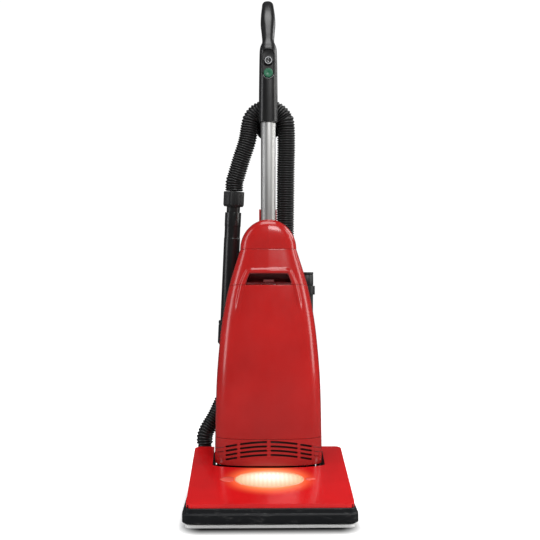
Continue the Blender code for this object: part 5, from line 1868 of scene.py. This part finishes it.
def bag_rings(stations, sides=64):
    rings = []
    for z, half, deep in stations:
        ring = []
        for step in range(sides):
            angle = 2 * math.pi * step / sides
            x = half * math.copysign(abs(math.cos(angle)) ** 0.7, math.cos(angle))
            y = deep * math.copysign(abs(math.sin(angle)) ** 0.7, math.sin(angle))
            ring.append(at(x, 0.2490 + y, z))
        rings.append(ring)
    return rings


def evaluated(obj):
    bpy.context.view_layer.update()
    graph = bpy.context.evaluated_depsgraph_get()
    return bpy.data.meshes.new_from_object(obj.evaluated_get(graph), depsgraph=graph)


def build_bag():
    """Paper-cloth bag, filled out by a short pressure simulation."""
    bag = loft("dust_bag", bag_rings(BAG))
    remesh = bag.modifiers.new("grid", "REMESH")
    remesh.mode = "VOXEL"
    remesh.voxel_size = BAG_VOXEL
    settle(bag)
    start = [point.co.copy() for point in bag.data.vertices]
    cloth = bag.modifiers.new("cloth", "CLOTH")
    cloth.settings.quality = 5
    cloth.settings.mass = 0.15
    cloth.settings.tension_stiffness = 12
    cloth.settings.compression_stiffness = 12
    cloth.settings.bending_stiffness = 0.4
    cloth.settings.use_pressure = True
    cloth.settings.uniform_pressure_force = BAG_PRESSURE
    cloth.settings.effector_weights.gravity = 0.0
    cloth.settings.shrink_min = -0.03
    cloth.point_cache.frame_start = 1
    cloth.point_cache.frame_end = BAG_FRAMES
    scene = bpy.context.scene
    for frame in range(1, BAG_FRAMES + 1):
        scene.frame_set(frame)
    mesh = evaluated(bag)
    bag.modifiers.clear()
    for point, before in zip(mesh.vertices, start):
        moved = point.co - before
        if moved.length > BAG_MOST:
            point.co = before + moved * (BAG_MOST / moved.length)
    bag.data = mesh
    scene.frame_set(1)
    smoother = bag.modifiers.new("finer", "SUBSURF")
    smoother.levels = smoother.render_levels = 1
    settle(bag)
    low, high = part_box("filter_bag")
    for point in bag.data.vertices:
        point.co.y = min(max(point.co.y, low.y), high.y)
        point.co.x = min(max(point.co.x, low.x), high.x)
        point.co.z = min(max(point.co.z, low.z), high.z)
    fit(bag, "upright", BAG_CLOTH, ("filter_bag",), 60)
    for index, z in enumerate((0.1722, 0.4395)):
        half, deep = ((0.0690, 0.0280), (0.0540, 0.0250))[index]
        path = bag_rings([(z, half, deep)], 96)[0]
        rows = []
        for point in path:
            out = (point - at(0, 0.2490, z)).normalized()
            rows.append([point + out * a + Vector((0, 0, b)) for a, b in arc(0, 0, 0.0012, 0, 315, 7)])
        seam = mesh_object(f"bag_seam_{index}", *lattice([*rows, rows[0]], True))
        fit(outward(weld(seam)), "upright", BAG_CLOTH, (), 60)


# ---------------------------------------------------------------- motor details
def build_motor_details():
    """Windings on the stator."""
    centre = at(0, *PIVOT)
    coils = []
    for index in range(12):
        angle = 2 * math.pi * index / 12
        out = Vector((0, math.cos(angle), math.sin(angle)))
        start, end = centre + out * 0.0350 - Vector(
            (0.0435, 0, 0)
        ), centre + out * 0.0350 + Vector((0.0385, 0, 0))
        profile = rounded(
            [(0.0, 0.0), (0.0042, 0.0), (0.0042, (end - start).length), (0.0, (end - start).length)], 0.0015,
            3,
        )
        coils.append(turned(f"coil_{index}", profile, start, Vector((1, 0, 0)), 16))
    fit(join(*coils), "upright", COPPER, (), 40)


def build_shade_sheet():
    """Black sheet behind the grille: painted shade that keeps the slots dark."""
    rows = [
        [body_point(angle, z, inset=SHADE_SHEET_INSET) for angle in front_angles(96)]
        for z in spaced(0.0900, 0.1430, 0.0090)
    ]
    screen = thickened(outward(mesh_object("grille_shade_sheet", *lattice(rows))), 0.0006)
    fit(screen, "upright", BLACK_MATTE, (), 50)


def build_shade_guards():
    """Curved black guards behind the motor's ends, centred on the recline axis: painted shade that keeps what
    shows through the grille dark.
    """
    centre = at(0, *PIVOT)
    for low, high, name in ((-0.1113, -0.0765, "left"), (0.0715, 0.1113, "right")):
        rows = []
        for step in range(33):
            angle = math.radians(GUARD_START + GUARD_SWEEP * step / 32)
            out = Vector((0, math.cos(angle), math.sin(angle))) * GUARD_R
            rows.append([centre + out + Vector((x, 0, 0)) for x in spaced(low, high, 0.006)])
        guard = thickened(outward(mesh_object("motor_shade_guard_" + name, *lattice(rows))), 0.0014)
        fit(bevelled(guard, 0.0003, 2, 50), "upright", BLACK_MATTE, (), 50)


# ---------------------------------------------------------------- materials on the CAD's own nodes
DRESSED = {
    "base_chassis": BLACK_MATTE,
    "headlight_reflector": REFLECTOR,
    "headlight_bulb": BULB,
    "pivot_pin_left": CROSS_STEEL,
    "pivot_pin_right": CROSS_STEEL,
    "pedal_pin": CROSS_STEEL,
    "release_pedal": BLACK_MATTE,
    "rear_axle_left": CROSS_STEEL,
    "rear_axle_right": CROSS_STEEL,
    "front_axle": CROSS_STEEL,
    "brush_cap_left": GREY_PLASTIC,
    "brush_cap_right": GREY_PLASTIC,
    "drive_belt": BELT_RUBBER,
    "motor_housing": BLACK_MATTE,
    "motor_stator": COPPER,
    "motor_rotor": CROSS_STEEL,
    "trunnion_left": BLACK_MATTE,
    "trunnion_right": BLACK_MATTE,
    # the latch sits inside the hand recess and takes its painted shade
    "door_latch": RED_IN_PAINTED_SHADE,
    "filter_tray": BLACK_MATTE,
    "pre_motor_filter": FILTER_FOAM,
    "bag_collar": FILTER_PAPER,
    "switch_block": GREY_PLASTIC,
    "cord_hook_upper": BLACK_MATTE,
    "cord_hook_lower": BLACK_MATTE,
    "hose_port": BLACK_MATTE,
}


def dress():
    for name, material in DRESSED.items():
        obj = bpy.data.objects[name]
        for slot in obj.material_slots:
            slot.material = material


build_filters()
build_bag()
build_motor_details()
build_shade_guards()
build_shade_sheet()
dress()
